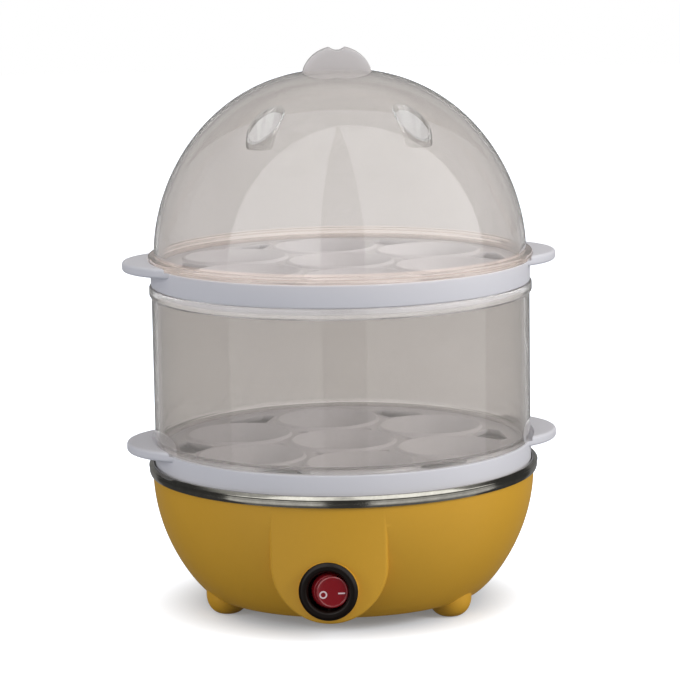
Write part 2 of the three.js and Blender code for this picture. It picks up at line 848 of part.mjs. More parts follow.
function buildGland() {
  const ring = [
    [glandBoreRadius, 0],
    [glandFlangeRadius, 0],
    [glandFlangeRadius - glandFlangeThickness / 2, glandFlangeThickness],
    [glandBoreRadius, glandFlangeThickness],
  ];
  const sleeve = [
    [glandBoreRadius, -glandLength],
    [glandRadius, -glandLength],
    [glandRadius, glandFlangeThickness / 2],
    [glandBoreRadius, glandFlangeThickness / 2],
  ];
  const solid = join(revolveRing(ring, midFacetCount), revolveRing(sleeve, midFacetCount));
  return solid.rotate(-90, 0, 0).translate(0, inletFaceOffset + seatGap, inletHeight);
}

function buildClamp() {
  const low = housingFloorTop + clampBossHeight + seatGap;
  const bar = box(clampLength, clampWidth, clampThickness, 0, clampOffset, low + clampThickness / 2);
  const holes = [-1, 1].map((side) =>
    post(
      smallScrewRadius + seatGap,
      low - cutOverrun,
      low + clampThickness + cutOverrun,
      smallFacetCount,
      (side * clampScrewPitch) / 2,
      clampOffset,
    ),
  );
  return cut(bar, ...holes);
}

function buildClampScrew(side) {
  const seat = housingFloorTop + clampBossHeight + clampThickness + 2 * seatGap;
  const x = (side * clampScrewPitch) / 2;
  const head = post(smallScrewHeadRadius, seat, seat + smallScrewHeadHeight, smallFacetCount, x, clampOffset);
  const tip = seat - clampThickness - clampScrewLength + 3 * seatGap;
  return join(head, post(smallScrewRadius, tip, seat + smallScrewHeadHeight / 2, smallFacetCount, x, clampOffset));
}

const blockLow = housingFloorTop + seatGap;
const blockMouth = blockLow + blockHeight / 2;

// Three-way block, bored through for the conductors
function buildBlock() {
  const body = box(blockLength, blockWidth, blockHeight, 0, blockOffset, blockLow + blockHeight / 2);
  const bores = [-1, 0, 1].map((side) => {
    const bore = new THREE.CylinderGeometry(blockBoreRadius, blockBoreRadius, blockWidth + 2 * cutOverrun, smallFacetCount);
    return solidOf(bore.translate(side * blockPitch, blockOffset, blockMouth));
  });
  return cut(body, ...bores);
}

const earthHeight = spreaderBottom - seatGap;

function buildEarthTab() {
  const ring = post(earthTabRadius, earthHeight - earthTabThickness, earthHeight, smallFacetCount, 0, earthTabOffset);
  const barrel = box(
    earthBarrelLength,
    earthBarrelWidth,
    earthBarrelHeight,
    smallScrewHeadRadius + fitGap + earthBarrelLength / 2,
    earthTabOffset,
    earthHeight - earthBarrelHeight / 2,
  );
  const hole = post(
    smallScrewRadius + seatGap,
    earthHeight - earthTabThickness - cutOverrun,
    earthHeight + cutOverrun,
    smallFacetCount,
    0,
    earthTabOffset,
  );
  return cut(join(ring, barrel), hole);
}

// Where the conductors end: face to face with a blade, pin or fuse, or inside a bore of the block
const leadStraight = 2 * leadRadius;
const bladeEnd = -(bezelFront - bezelThickness - switchBodyDepth - terminalLength) + seatGap;
const tabEnd = thermostatCapBottom - seatGap - thermostatBodyHeight - terminalLength + cutOverrun - seatGap;
const tabX = thermostatBodyRadius - terminalWidth / 2;
const blockFront = blockOffset - blockWidth / 4;
const blockRear = blockOffset + blockWidth / 4;
const fuseNear = -fuseOffset + fuseLength / 2 + seatGap;
const fuseFar = -fuseOffset - fuseLength / 2 - seatGap;
const pinTip = (side, beyond = 0) => {
  const reach = pinLength + 2 * seatGap + beyond;
  const [x, y] = elementEnd(side);
  return [x - side * reach * Math.cos(openHalf), y + reach * Math.sin(openHalf), elementHeight];
};
const barrelEnd = smallScrewHeadRadius + fitGap + earthBarrelLength + seatGap;

const leadRoutes = {
  lead_live_in: [
    [-blockPitch, blockFront, blockMouth],
    [-9.5, 10, 13],
    [-13, -10, 12],
    [-13, -34, 13],
    [-10, -47, 18],
    [-terminalPitch, bladeEnd + leadStraight, switchHeight],
    [-terminalPitch, bladeEnd, switchHeight],
  ],
  lead_live_out: [
    [0, bladeEnd, switchHeight],
    [0, bladeEnd + leadStraight, switchHeight],
    [3.5, -50, 23.5],
    [8, -46, 25],
    [11, -30, 25],
    [10, -12, 22],
    [6.5, -3, 19.5],
    [tabX, 0, 20.5],
    [tabX, 0, tabEnd],
  ],
  lead_fuse_in: [
    [-tabX, 0, tabEnd],
    [-tabX, 0, 20.5],
    [-8, -5, 20],
    [-9.5, -10, 25],
    [-7.5, -10, 32],
    [-4.6, -8.7, 35.9],
    [fuseX, fuseNear + leadStraight, fuseHeight],
    [fuseX, fuseNear, fuseHeight],
  ],
  lead_fuse_out: [
    [fuseX, fuseFar, fuseHeight],
    [fuseX, fuseFar - leadStraight, fuseHeight],
    [-6, -28, 33],
    [-9, -26.5, 30],
    [-14, -22, 28],
    [-21, -6, 27.5],
    [-20, 12, 27.5],
    [-12, 26, 28],
    [-4.4, 32.5, 29.5],
    [-3.8, 34.6, 33.5],
    pinTip(-1, leadStraight),
    pinTip(-1),
  ],
  lead_neutral: [
    [blockPitch, blockRear, blockMouth],
    [9, 32, 15.5],
    [7, 33.5, 22],
    [4.4, 34.6, 29.5],
    [3.8, 34.7, 33.5],
    pinTip(1, leadStraight),
    pinTip(1),
  ],
  lead_lamp: [
    [terminalPitch, bladeEnd, switchHeight],
    [terminalPitch, bladeEnd + leadStraight, switchHeight],
    [12.5, -44, 16],
    [14.5, -30, 13],
    [14, -8, 12],
    [10, 8, 13],
    [blockPitch, blockFront, blockMouth],
  ],
  lead_earth: [
    [0, blockFront, blockMouth],
    [1.5, 15, 15.5],
    [6, 13.5, 21],
    [11.5, 15.5, 29],
    [12, 17, 34.5],
    [barrelEnd + leadStraight, earthTabOffset, earthHeight - earthBarrelHeight / 2],
    [barrelEnd, earthTabOffset, earthHeight - earthBarrelHeight / 2],
  ],
};

const leadColours = {
  lead_live_in: leadBrown,
  lead_live_out: leadBrown,
  lead_fuse_in: leadBrown,
  lead_fuse_out: leadBrown,
  lead_neutral: leadBlue,
  lead_lamp: leadBlue,
  lead_earth: leadGreen,
};

// Pentagonal steam window with its point towards the axis
function trayWindow(degrees) {
  const outline = [
    [windowBaseRadius, -windowBaseHalfWidth],
    [windowBaseRadius, windowBaseHalfWidth],
    [windowShoulderRadius, windowShoulderHalfWidth],
    [windowApexRadius, 0],
    [windowShoulderRadius, -windowShoulderHalfWidth],
  ];
  return slab(outline, trayDeckBottom - cutOverrun, trayDeckTop + cutOverrun).rotate(0, 0, degrees);
}

function trayCupPlaces() {
  const ring = Array.from({ length: ringCupCount }, (_, i) =>
    around(cupCircleRadius, -90 + (i * 360) / ringCupCount),
  );
  return [[0, 0], ...ring];
}

// Deck, band, locating lip and the upper edge of a tray
function trayPlate() {
  const lipInner = trayLipRadius - trayLipWall;
  const profile = [
    [0, trayDeckBottom],
    [trayInnerRadius, trayDeckBottom],
    [trayInnerRadius, trayWall],
    [lipInner, trayWall],
    [lipInner, -trayLipDepth],
    [trayLipRadius, -trayLipDepth],
    [trayLipRadius, 0],
    [trayOuterRadius, 0],
    [trayOuterRadius, trayHeight - trayEdge],
    [trayOuterRadius - trayEdge, trayHeight],
    [trayInnerRadius, trayHeight],
    [trayInnerRadius, trayDeckTop],
    [0, trayDeckTop],
  ];
  return revolve(profile, bigFacetCount);
}

// Crescent ears: a bevelled disc on each side, kept outside the band
function trayEars() {
  const core = post(trayOuterRadius - trayWall / 2, -trayHeight, 2 * trayHeight, bigFacetCount);
  const rim = post(flangeRadius + fitGap, trayHeight, 2 * trayHeight, bigFacetCount);
  const edge = earEdge;
  const top = trayHeight + earRise;
  const disc = (side) =>
    revolve(
      [
        [0, top - earThickness],
        [earDiscRadius - edge, top - earThickness],
        [earDiscRadius, top - earThickness + edge],
        [earDiscRadius, top - edge],
        [earDiscRadius - edge, top],
        [0, top],
      ],
      earFacetCount,
    ).translate(side * earDiscOffset, 0, 0);
  return cut(join(disc(1), disc(-1)), core, rim);
}

function cupOutside([x, y]) {
  const bead = cupMouthRadius + cupBeadWidth;
  const profile = [
    [0, trayDeckTop - cupDepth],
    [cupThroatRadius + cupWall, trayDeckTop - cupDepth],
    [cupMouthRadius + cupWall, trayDeckBottom],
    [bead + cupWall / 2, trayDeckTop],
    [bead, trayDeckTop + cupBeadHeight],
    [0, trayDeckTop + cupBeadHeight],
  ];
  return revolve(profile, cupFacetCount).translate(x, y, 0);
}

function cupInside([x, y]) {
  const slope = (cupMouthRadius - cupThroatRadius) / cupDepth;
  const low = trayDeckTop - cupDepth - cutOverrun;
  const high = trayDeckTop + cupBeadHeight + cutOverrun;
  const profile = [
    [0, low],
    [cupThroatRadius, low],
    [cupThroatRadius, trayDeckTop - cupDepth + cupWall],
    [cupMouthRadius, trayDeckTop],
    [cupMouthRadius + slope * (cupBeadHeight + cutOverrun), high],
    [0, high],
  ];
  return revolve(profile, cupFacetCount).translate(x, y, 0);
}

function buildTray() {
  const cups = trayCupPlaces();
  const ringStep = 360 / ringCupCount;
  const gaps = Array.from({ length: ringCupCount }, (_, i) => -90 + (i + 0.5) * ringStep);
  const windows = gaps.map(trayWindow);
  const ventHoles = gaps.map((degrees) => {
    const [x, y] = around(ventHoleCircleRadius, degrees);
    return post(ventHoleRadius, trayDeckBottom - cutOverrun, trayDeckTop + cutOverrun, smallFacetCount / 2, x, y);
  });
  const body = join(trayPlate(), trayEars(), ...cups.map(cupOutside));
  return cut(body, ...cups.map(cupInside), ...windows, ...ventHoles);
}

// Locating lip and foot that a wall or lid stands on, from the lip up to the given height
const footProfile = (inner) => [
  [inner, footLipDepth + footLipWall],
  [footLipRadius - footLipWall, footLipDepth],
  [footLipRadius - footLipWall, -footLipDepth],
  [footLipRadius, -footLipDepth],
  [footLipRadius, 0],
];

function buildTierWall() {
  const inner = tierRadius - tierWall;
  const beadFoot = tierHeight - tierBeadHeight;
  const profile = [
    ...footProfile(inner),
    [tierRadius - trayEdge, 0],
    [tierRadius, trayEdge],
    [tierRadius, beadFoot],
    [tierBeadRadius, beadFoot + beadRounding],
    [tierBeadRadius, tierHeight - beadRounding],
    [tierBeadRadius - beadRounding, tierHeight],
    [inner, tierHeight],
  ];
  return revolveRing(profile, bigFacetCount).translate(0, 0, tierBase);
}

// Dome surface from the springing line to the top, drawn in by an inset
function domeSide(inset) {
  return arc(0, Math.PI / 2, domeStepCount, (a) => [
    (domeRadius - inset) * Math.max(Math.cos(a), 0) ** (2 / domeRadiusPowerShare),
    domeSpring + (domeHeight - inset) * Math.sin(a) ** (2 / domeHeightPowerShare),
  ]);
}

function domeSolid(inset, low) {
  const side = domeSide(inset);
  side[side.length - 1][0] = 0;
  return revolve([[0, low], [domeRadius - inset, low], ...side], bigFacetCount);
}

function lidFlange() {
  const inner = domeRadius - domeWall;
  const profile = [
    [inner, footLipDepth + footLipWall],
    ...footProfile(inner).slice(1),
    [flangeRadius, 0],
    [flangeRadius, flangeHeight / 2 - flangeWaist],
    [flangeRadius - flangeWaist, flangeHeight / 2],
    [flangeRadius, flangeHeight / 2 + flangeWaist],
    [flangeRadius, flangeHeight],
    [inner, flangeHeight],
  ];
  return revolveRing(profile, bigFacetCount).translate(0, 0, lidBase);
}

// Blade knob with a shallow finger notch in its crown
function knobOutline(inset) {
  const crown = domeTop + knobHeight - inset;
  const spring = domeTop - knobRoot;
  return arc(0, Math.PI, midFacetCount, (a) => [
    (knobHalfWidth - inset) * Math.cos(a),
    spring + (crown - spring) * Math.sin(a),
  ]);
}

function knobBlade(inset) {
  const half = knobThickness / 2 - inset;
  return wallSlab(knobOutline(inset), -half, half);
}

function knobNotch() {
  const notch = new THREE.CylinderGeometry(
    knobNotchRadius,
    knobNotchRadius,
    knobThickness + 2 * cutOverrun,
    smallFacetCount,
  );
  return solidOf(notch.translate(0, 0, domeTop + knobHeight + knobNotchRadius - knobNotchDepth));
}

function steamPocket(side, grow, low, high) {
  return post(steamPocketRadius + grow, low, high, midFacetCount, side * steamPocketOffset, -steamPocketForward);
}

function buildLid() {
  const outer = domeSolid(0, lidBase + flangeHeight / 2);
  const inner = domeSolid(domeWall, lidBase - cutOverrun);
  const floor = domeTop - steamPocketDrop;
  const pocketTubes = [-1, 1].map((side) =>
    steamPocket(side, steamPocketWall, floor - steamPocketWall, domeTop).intersect(outer),
  );
  const pocketBores = [-1, 1].map((side) => steamPocket(side, 0, floor, domeTop));
  const steamHoles = [-1, 1].map((side) =>
    post(
      steamHoleRadius,
      floor - steamPocketWall - cutOverrun,
      floor + cutOverrun,
      smallFacetCount,
      side * steamPocketOffset,
      -steamPocketForward,
    ),
  );
  const knob = cut(knobBlade(0), knobNotch());
  const hollow = join(inner, cut(knobBlade(knobWall), knobNotch()));
  const shell = cut(join(outer, lidFlange(), knob), hollow);
  return cut(join(shell, ...pocketTubes), ...pocketBores, ...steamHoles);
}

// Base
place('base_housing', buildHousing(), yellowShell);
place('heating_pan', buildPan(), panSteel);
place('heat_spreader', buildSpreader(), castAluminium);
place('heating_element', buildElement(), plainSteel);
[-1, 1].forEach((side, i) => place(`element_pin_${i + 1}`, buildPin(side), plainSteel));
place('thermostat_cap', buildThermostatCap(), castAluminium);
place('thermostat_body', buildThermostatBody(), blackNylon);
[-1, 1].forEach((side, i) => {
  const seat = thermostatTop - thermostatFlangeThickness - seatGap;
  place(`thermostat_screw_${i + 1}`, risingScrew(side * thermostatScrewOffset, 0, seat, spreaderTop - seatGap), plainSteel);
});
place('thermal_fuse', buildFuse(), paleResin);
place('fuse_clip', buildFuseClip(), plainSteel);
place(
  'fuse_screw',
  risingScrew(fuseScrewOffset, -fuseOffset, spreaderBottom - fuseClipThickness - 2 * seatGap, spreaderTop - seatGap),
  plainSteel,
);
place('earth_tab', buildEarthTab(), brightBrass);
place(
  'earth_screw',
  risingScrew(0, earthTabOffset, earthHeight - earthTabThickness - seatGap, spreaderTop - seatGap),
  brightBrass,
);
pillarPlaces.forEach((spot, i) => {
  place(`pan_pillar_${i + 1}`, buildPillar(spot), plainSteel);
  place(`base_screw_${i + 1}`, buildBaseScrew(spot), plainSteel);
});
place('cord_gland', buildGland(), blackRubber);
place('cord_clamp', buildClamp(), paleResin);
[-1, 1].forEach((side, i) => place(`clamp_screw_${i + 1}`, buildClampScrew(side), plainSteel));
place('terminal_block', buildBlock(), paleResin);
Object.entries(leadRoutes).forEach(([name, route]) =>
  place(name, tube(route, leadRadius, leadFacetCount, leadStepCount), leadColours[name]),
);

// Switch
place('switch_body', buildSwitchBody(), blackNylon);
[-1, 0, 1].forEach((side, i) => place(`switch_terminal_${i + 1}`, terminalBlank(side, 0), brightBrass));
place('switch_lamp', buildLamp(), lampGlass);
const rocker = place('switch_rocker', buildRocker(), redRocker);
rocker.position.set(0, -rockerPivotOffset, switchHeight);
rocker.rotation.z = radians(rockerTiltDegrees);

// Stack
const trayGeometry = geometryOf(buildTray());
place('lower_tray', trayGeometry, whiteTray, stackGroup).position.z = lowerTrayBase;
place('tier_wall', buildTierWall(), clearCover);
place('upper_tray', trayGeometry, whiteTray, stackGroup).position.z = upperTrayBase;
place('dome_lid', buildLid(), clearCover, lidGroup);

export default boiler;
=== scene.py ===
"""Finished surfaces of a two-tier table-top steam boiler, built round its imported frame.

Each sub-assembly is a class that holds its sizes, in metres, and builds and dresses its own pieces.
+Z is up, the axis of the stack is the Z axis, and the switch faces -Y.
"""

import json
import logging
import math
from dataclasses import dataclass
from enum import Enum

import bmesh
import bpy
from mathutils import Matrix, Vector


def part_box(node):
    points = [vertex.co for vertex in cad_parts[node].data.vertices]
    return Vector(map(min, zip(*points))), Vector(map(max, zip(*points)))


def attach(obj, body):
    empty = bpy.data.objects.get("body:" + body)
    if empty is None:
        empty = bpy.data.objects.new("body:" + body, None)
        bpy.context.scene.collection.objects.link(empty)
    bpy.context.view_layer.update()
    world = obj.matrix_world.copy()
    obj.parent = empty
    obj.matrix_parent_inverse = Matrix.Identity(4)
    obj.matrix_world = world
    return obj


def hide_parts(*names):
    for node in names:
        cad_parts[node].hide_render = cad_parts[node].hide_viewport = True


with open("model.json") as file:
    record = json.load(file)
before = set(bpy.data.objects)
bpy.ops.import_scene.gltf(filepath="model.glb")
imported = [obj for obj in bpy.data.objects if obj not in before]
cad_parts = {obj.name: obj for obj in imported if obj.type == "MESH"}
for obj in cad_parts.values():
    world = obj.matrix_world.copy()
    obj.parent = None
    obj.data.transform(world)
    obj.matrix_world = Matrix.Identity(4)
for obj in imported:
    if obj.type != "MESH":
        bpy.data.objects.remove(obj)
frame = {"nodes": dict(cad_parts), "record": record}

MM = 0.001
LOG = logging.getLogger("steam_boiler")
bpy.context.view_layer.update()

Point = tuple[float, float]
Corner = tuple[float, float, float]
Colour = tuple[float, float, float]
Socket = bpy.types.NodeSocket
Signal = bpy.types.NodeSocket | float

NEARLY_STRAIGHT = math.radians(89.5)
EDGE_SHARE = 0.49
WELD = MM / 1000
TOUCH = MM / 100
OVERRUN = 2 * MM
ROOTING = 1 * MM

CLOUD_SCALE = 34.0
CLOUD_SHARE = 0.7
SPECK_SCALE = 520.0
SPECK_SHARE = 0.3
MOTTLE_ROUGHNESS = 0.8
GRAIN_RELIEF = 0.2 * MM
LAY_PITCH = 4 * MM
LAY_SHADE = 0.35
TURN_SCALE = 16.0
TURN_STRETCH = 20.0
PATCH_SCALE = 28.0
PATCH_ROUGHNESS = 0.12
STREAK_RELIEF = 0.1 * MM
FLOW_SCALE = 22.0
FLOW_SHADE = 0.05
FLOW_ROUGHNESS = 0.02
RIPPLE_SCALE = 60.0
RIPPLE_RELIEF = 0.3 * MM


class Edge:
    """Roundings of moulded and pressed edges."""

    HAIR = 0.1 * MM
    FINE = 0.2 * MM
    CRISP = 0.3 * MM
    SOFT = 0.4 * MM
    ROUND = 0.5 * MM
    FULL = 0.6 * MM


class Operation(Enum):
    """How one solid works on another."""

    JOIN = "UNION"
    CUT = "DIFFERENCE"
    KEEP_SHARED = "INTERSECT"


def rounded_outline(corners: list[Corner], closed: bool = True, steps: int = 5) -> list[Point]:
    """Rounds the corners of an outline.

    Args:
        corners: (across, up, rounding) of each corner, in order.
        closed: whether the last corner runs back to the first.
        steps: facets of each rounding.

    Returns:
        The points of the rounded outline.
    """
    count = len(corners)
    points: list[Point] = []
    for index, (across, up, rounding) in enumerate(corners):
        here = Vector((across, up))
        at_end = not closed and index in (0, count - 1)
        if rounding <= 0 or at_end:
            points.append((across, up))
            continue
        before = Vector(corners[index - 1][:2]) - here
        after = Vector(corners[(index + 1) % count][:2]) - here
        half = before.angle(after) / 2
        if half > NEARLY_STRAIGHT:
            points.append((across, up))
            continue
        reach = min(rounding / math.tan(half), EDGE_SHARE * before.length, EDGE_SHARE * after.length)
        radius = reach * math.tan(half)
        middle = here + (before.normalized() + after.normalized()).normalized() * (radius / math.sin(half))
        start = here + before.normalized() * reach - middle
        end = here + after.normalized() * reach - middle
        sweep = start.angle_signed(end)
        for step in range(steps + 1):
            turned = start.copy()
            turned.rotate(Matrix.Rotation(-sweep * step / steps, 2))
            points.append(tuple(middle + turned))
    return points


def turn_by(angle: float, axis: str = "Z") -> Matrix:
    """Turn about an axis by an angle in degrees."""
    return Matrix.Rotation(math.radians(angle), 4, axis)


def spot_at(radius: float, angle: float) -> Vector:
    """Place at a radius and an angle in degrees round the Z axis."""
    return turn_by(angle) @ Vector((radius, 0, 0))


def arc_points(middle: Point, radius: Point, start: float, end: float, steps: int) -> list[Point]:
    """Points on an elliptical arc.

    Args:
        middle: centre of the arc.
        radius: half widths across and up.
        start: first angle, in degrees from the across direction.
        end: last angle, in degrees.
        steps: number of facets.

    Returns:
        steps + 1 points from start to end.
    """
    angles = [math.radians(start + (end - start) * i / steps) for i in range(steps + 1)]
    return [(middle[0] + radius[0] * math.cos(a), middle[1] + radius[1] * math.sin(a)) for a in angles]


def superellipse(radius: Point, powers: Point, steps: int) -> list[Point]:
    """Quarter of a superellipse, from the across axis to the up axis.

    Args:
        radius: reach across and up.
        powers: exponents across and up, 2 for an ellipse.
        steps: number of facets.

    Returns:
        steps + 1 points, the first on the across axis.
    """
    angles = [math.pi / 2 * i / steps for i in range(steps + 1)]
    return [
        (
            radius[0] * max(math.cos(a), 0.0) ** (2 / powers[0]),
            radius[1] * math.sin(a) ** (2 / powers[1]),
        )
        for a in angles
    ]


def bevel_edges(sketch: bmesh.types.BMesh, edges: list[bmesh.types.BMEdge], width: float, steps: int) -> None:
    """Bevels edges of a sketch to a width with a number of facets."""
    bmesh.ops.bevel(
        sketch,
        geom=edges,
        offset=width,
        offset_type="OFFSET",
        segments=steps,
        profile=0.5,
        affect="EDGES",
        clamp_overlap=True,
        material=-1,
    )


class Solid:
    """A closed body in the making, kept as a mesh object until it is finished."""

    def __init__(self, sketch: bmesh.types.BMesh) -> None:
        """Takes a bmesh, merges its doubles and turns its faces outwards.

        Args:
            sketch: the bmesh, which is used up.
        """
        bmesh.ops.remove_doubles(sketch, verts=sketch.verts, dist=WELD)
        bmesh.ops.dissolve_degenerate(sketch, edges=sketch.edges, dist=WELD)
        bmesh.ops.recalc_face_normals(sketch, faces=sketch.faces)
        mesh = bpy.data.meshes.new("sketch")
        sketch.to_mesh(mesh)
        sketch.free()
        self.thing = bpy.data.objects.new("sketch", mesh)
        bpy.context.scene.collection.objects.link(self.thing)

    @classmethod
    def turned(cls, outline: list[Point], facets: int, closed: bool = False) -> "Solid":
        """Turns an outline of (radius, height) points about +Z.

        Args:
            outline: the points, from axis to axis, or a ring that stays off the axis.
            facets: number of facets of the full turn.
            closed: whether the last point joins the first.

        Returns:
            The solid.
        """
        sketch = bmesh.new()
        verts = [sketch.verts.new((radius, 0, height)) for radius, height in outline]
        pairs = list(zip(verts, verts[1:])) + ([(verts[-1], verts[0])] if closed else [])
        edges = [sketch.edges.new(pair) for pair in pairs]
        bmesh.ops.spin(
            sketch,
            geom=verts + edges,
            cent=(0, 0, 0),
            axis=(0, 0, 1),
            angle=2 * math.pi,
            steps=facets,
            use_merge=True,
        )
        return cls(sketch)

    @classmethod
    def lathe(cls, corners: list[Corner], facets: int, closed: bool = False, steps: int = 5) -> "Solid":
        """Turns an outline of (radius, height, rounding) corners about +Z, with steps facets a rounding."""
        return cls.turned(rounded_outline(corners, closed, steps), facets, closed)

    @classmethod
    def prism(cls, outline: list[Point], low: float, high: float) -> "Solid":
        """Extrudes an outline of (x, y) points along +Z.

        Args:
            outline: the corners in order.
            low: height of the lower face.
            high: height of the upper face.

        Returns:
            The solid.
        """
        sketch = bmesh.new()
        face = sketch.faces.new([sketch.verts.new((x, y, low)) for x, y in outline])
        moved = bmesh.ops.extrude_face_region(sketch, geom=[face])["geom"]
        verts = [v for v in moved if isinstance(v, bmesh.types.BMVert)]
        bmesh.ops.translate(sketch, verts=verts, vec=(0, 0, high - low))
        return cls(sketch)

    @classmethod
    def post(cls, radius: float, low: float, high: float, facets: int = 32) -> "Solid":
        """A round post along +Z with its middle on the axis."""
        return cls.turned([(0, low), (radius, low), (radius, high), (0, high)], facets)

    def moved(self, *steps: Matrix) -> "Solid":
        """Applies the given transforms in order and returns this solid."""
        for step in steps:
            self.thing.data.transform(step)
        return self

    def shifted(self, x: float = 0.0, y: float = 0.0, z: float = 0.0) -> "Solid":
        """Shifts this solid and returns it."""
        return self.moved(Matrix.Translation((x, y, z)))

    def swung(self, angle: float, axis: str = "Z") -> "Solid":
        """Turns this solid about an axis by an angle in degrees and returns it."""
        return self.moved(turn_by(angle, axis))

    def facing_front(self) -> "Solid":
        """Turns this solid's +Z axis to -Y and returns it."""
        return self.swung(90, "X")

    def facing_back(self) -> "Solid":
        """Turns this solid's +Z axis to +Y and returns it."""
        return self.swung(-90, "X")

    def bevelled(self, width: float, steps: int, angle: float = 40.0) -> "Solid":
        """Bevels every edge sharper than an angle.

        Args:
            width: width of the bevel.
            steps: facets across it.
            angle: least angle between two faces, in degrees.

        Returns:
            This solid.
        """
        sketch = bmesh.new()
        sketch.from_mesh(self.thing.data)
        sharp = [e for e in sketch.edges if e.is_manifold and e.calc_face_angle() > math.radians(angle)]
        bevel_edges(sketch, sharp, width, steps)
        sketch.to_mesh(self.thing.data)
        sketch.free()
        return self

    def worked(self, operation: Operation, *others: "Solid") -> "Solid":
        """Joins or cuts this solid with others, which are used up.

        Args:
            operation: join, cut or keep what is shared.
            others: the solids to work with.

        Returns:
            This solid.
        """
        for other in others:
            step = self.thing.modifiers.new("step", "BOOLEAN")
            step.operation = operation.value
            step.solver = "MANIFOLD"
            step.object = other.thing
        shape = bpy.context.evaluated_depsgraph_get()
        mesh = bpy.data.meshes.new_from_object(self.thing.evaluated_get(shape))
        self.thing.modifiers.clear()
        self.thing.data = mesh
        for other in others:
            bpy.data.objects.remove(other.thing)
        return self

    def joined(self, *others: "Solid") -> "Solid":
        """Joins others to this solid and returns it."""
        return self.worked(Operation.JOIN, *others)

    def cut(self, *others: "Solid") -> "Solid":
        """Cuts others out of this solid and returns it."""
        return self.worked(Operation.CUT, *others)

    def within(self, other: "Solid") -> "Solid":
        """Keeps what this solid shares with another and returns it."""
        return self.worked(Operation.KEEP_SHARED, other)

    def finished(
        self,
        name: str,
        body: str,
        slot: str,
        material: bpy.types.Material,
        nodes: tuple[str, ...] = (),
        crease: float = 32.0,
        clear: bool = False,
    ) -> None:
        """Names, shades and dresses the solid and hands it to its body.

        Args:
            name: name of the piece.
            body: body of the frame that it rides on.
            slot: material slot of the record, which is not used.
            material: its finish.
            nodes: nodes of the frame that it stands for.
            crease: angle in degrees past which an edge stays sharp.
            clear: whether lamps shine through it.
        """
        piece = self.thing
        piece.name = name
        piece.data.name = name
        piece.data.shade_smooth()
        piece.data.set_sharp_from_angle(angle=math.radians(crease))
        piece.data.materials.clear()
        piece.data.materials.append(material)
        piece.visible_shadow = not clear
        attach(piece, body)
        if nodes:
            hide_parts(*nodes)
        LOG.info("%s rides on %s with %d faces", name, body, len(piece.data.polygons))


class NodeSheet:
    """Places nodes on one node tree and wires them."""

    def __init__(self, tree: bpy.types.NodeTree) -> None:
        """Starts on an empty tree."""
        self.tree = tree
        tree.nodes.clear()

    def put(self, kind: str, inputs: dict | None = None, **settings: object) -> bpy.types.Node:
        """Adds a node.

        Args:
            kind: the node's Blender type without its ShaderNode prefix.
            inputs: value or source socket of each named or numbered input.
            settings: the node's own properties.

        Returns:
            The node.
        """
        node = self.tree.nodes.new(kind if kind.startswith("Node") else f"ShaderNode{kind}")
        for name, value in settings.items():
            setattr(node, name, value)
        for key, value in (inputs or {}).items():
            if isinstance(value, Socket):
                self.tree.links.new(value, node.inputs[key])
            else:
                node.inputs[key].default_value = value
        return node

    def math(self, operation: str, *values: Signal) -> Socket:
        """Adds a Math node for the given numbers or sockets and returns its output."""
        return self.put("Math", dict(enumerate(values)), operation=operation).outputs[0]

    def spread(
        self, value: Signal, low: float, high: float, to_low: float, to_high: float, kind: str = "LINEAR"
    ) -> Socket:
        """Maps a value from one range to another, clamped, and returns the output."""
        inputs = {"Value": value, "From Min": low, "From Max": high, "To Min": to_low, "To Max": to_high}
        return self.put("MapRange", inputs, interpolation_type=kind).outputs[0]


class EffectSheet(NodeSheet):
    """Sheet of a shader group that puts out colour, roughness and normal."""

    def __init__(self, name: str, colours: tuple[str, ...], numbers: tuple[str, ...]) -> None:
        """Makes the group with its sockets.

        Args:
            name: name of the group.
            colours: names of its colour inputs.
            numbers: names of its number inputs.
        """
        super().__init__(bpy.data.node_groups.new(name, "ShaderNodeTree"))
        rows = [(label, "INPUT", "Color") for label in colours]
        rows += [(label, "INPUT", "Float") for label in numbers]
        results = (("Colour", "Color"), ("Roughness", "Float"), ("Normal", "Vector"))
        rows += [(label, "OUTPUT", kind) for label, kind in results]
        for label, direction, kind in rows:
            self.tree.interface.new_socket(label, in_out=direction, socket_type=f"NodeSocket{kind}")
        self.given = self.put("NodeGroupInput").outputs
        self.place = self.put("TexCoord").outputs["Object"]

    def noise(self, vector: Socket, scale: Signal, detail: float = 2.0, roughness: float = 0.5) -> Socket:
        """Adds a noise texture and returns its value."""
        inputs = {"Vector": vector, "Scale": scale, "Detail": detail, "Roughness": roughness}
        return self.put("TexNoise", inputs).outputs["Fac"]

    def centred(self, value: Socket, share: Signal) -> Socket:
        """Centres a value from 0 to 1 on zero, multiplies it and returns the output."""
        return self.math("MULTIPLY", self.math("SUBTRACT", value, 0.5), share)

    def blend(self, mask: Socket, colour: Socket, other: Socket) -> Socket:
        """Mixes two colours by a mask and returns the output."""
        return self.put("Mix", {"Factor": mask, 6: colour, 7: other}, data_type="RGBA").outputs[2]

    def wired(self, colour: Socket, value: Socket, roughness: Socket, bump: dict) -> bpy.types.NodeTree:
        """Tints the colour, adds the bump and wires the outputs.

        Args:
            colour: the colour before its tint.
            value: factor of its brightness.
            roughness: the roughness.
            bump: strength, distance and height of the bump.

        Returns:
            The group's tree.
        """
        tinted = self.put("HueSaturation", {"Value": value, "Color": colour}).outputs["Color"]
        normal = self.put("Bump", bump).outputs["Normal"]
        self.put("NodeGroupOutput", {"Colour": tinted, "Roughness": roughness, "Normal": normal})
        return self.tree


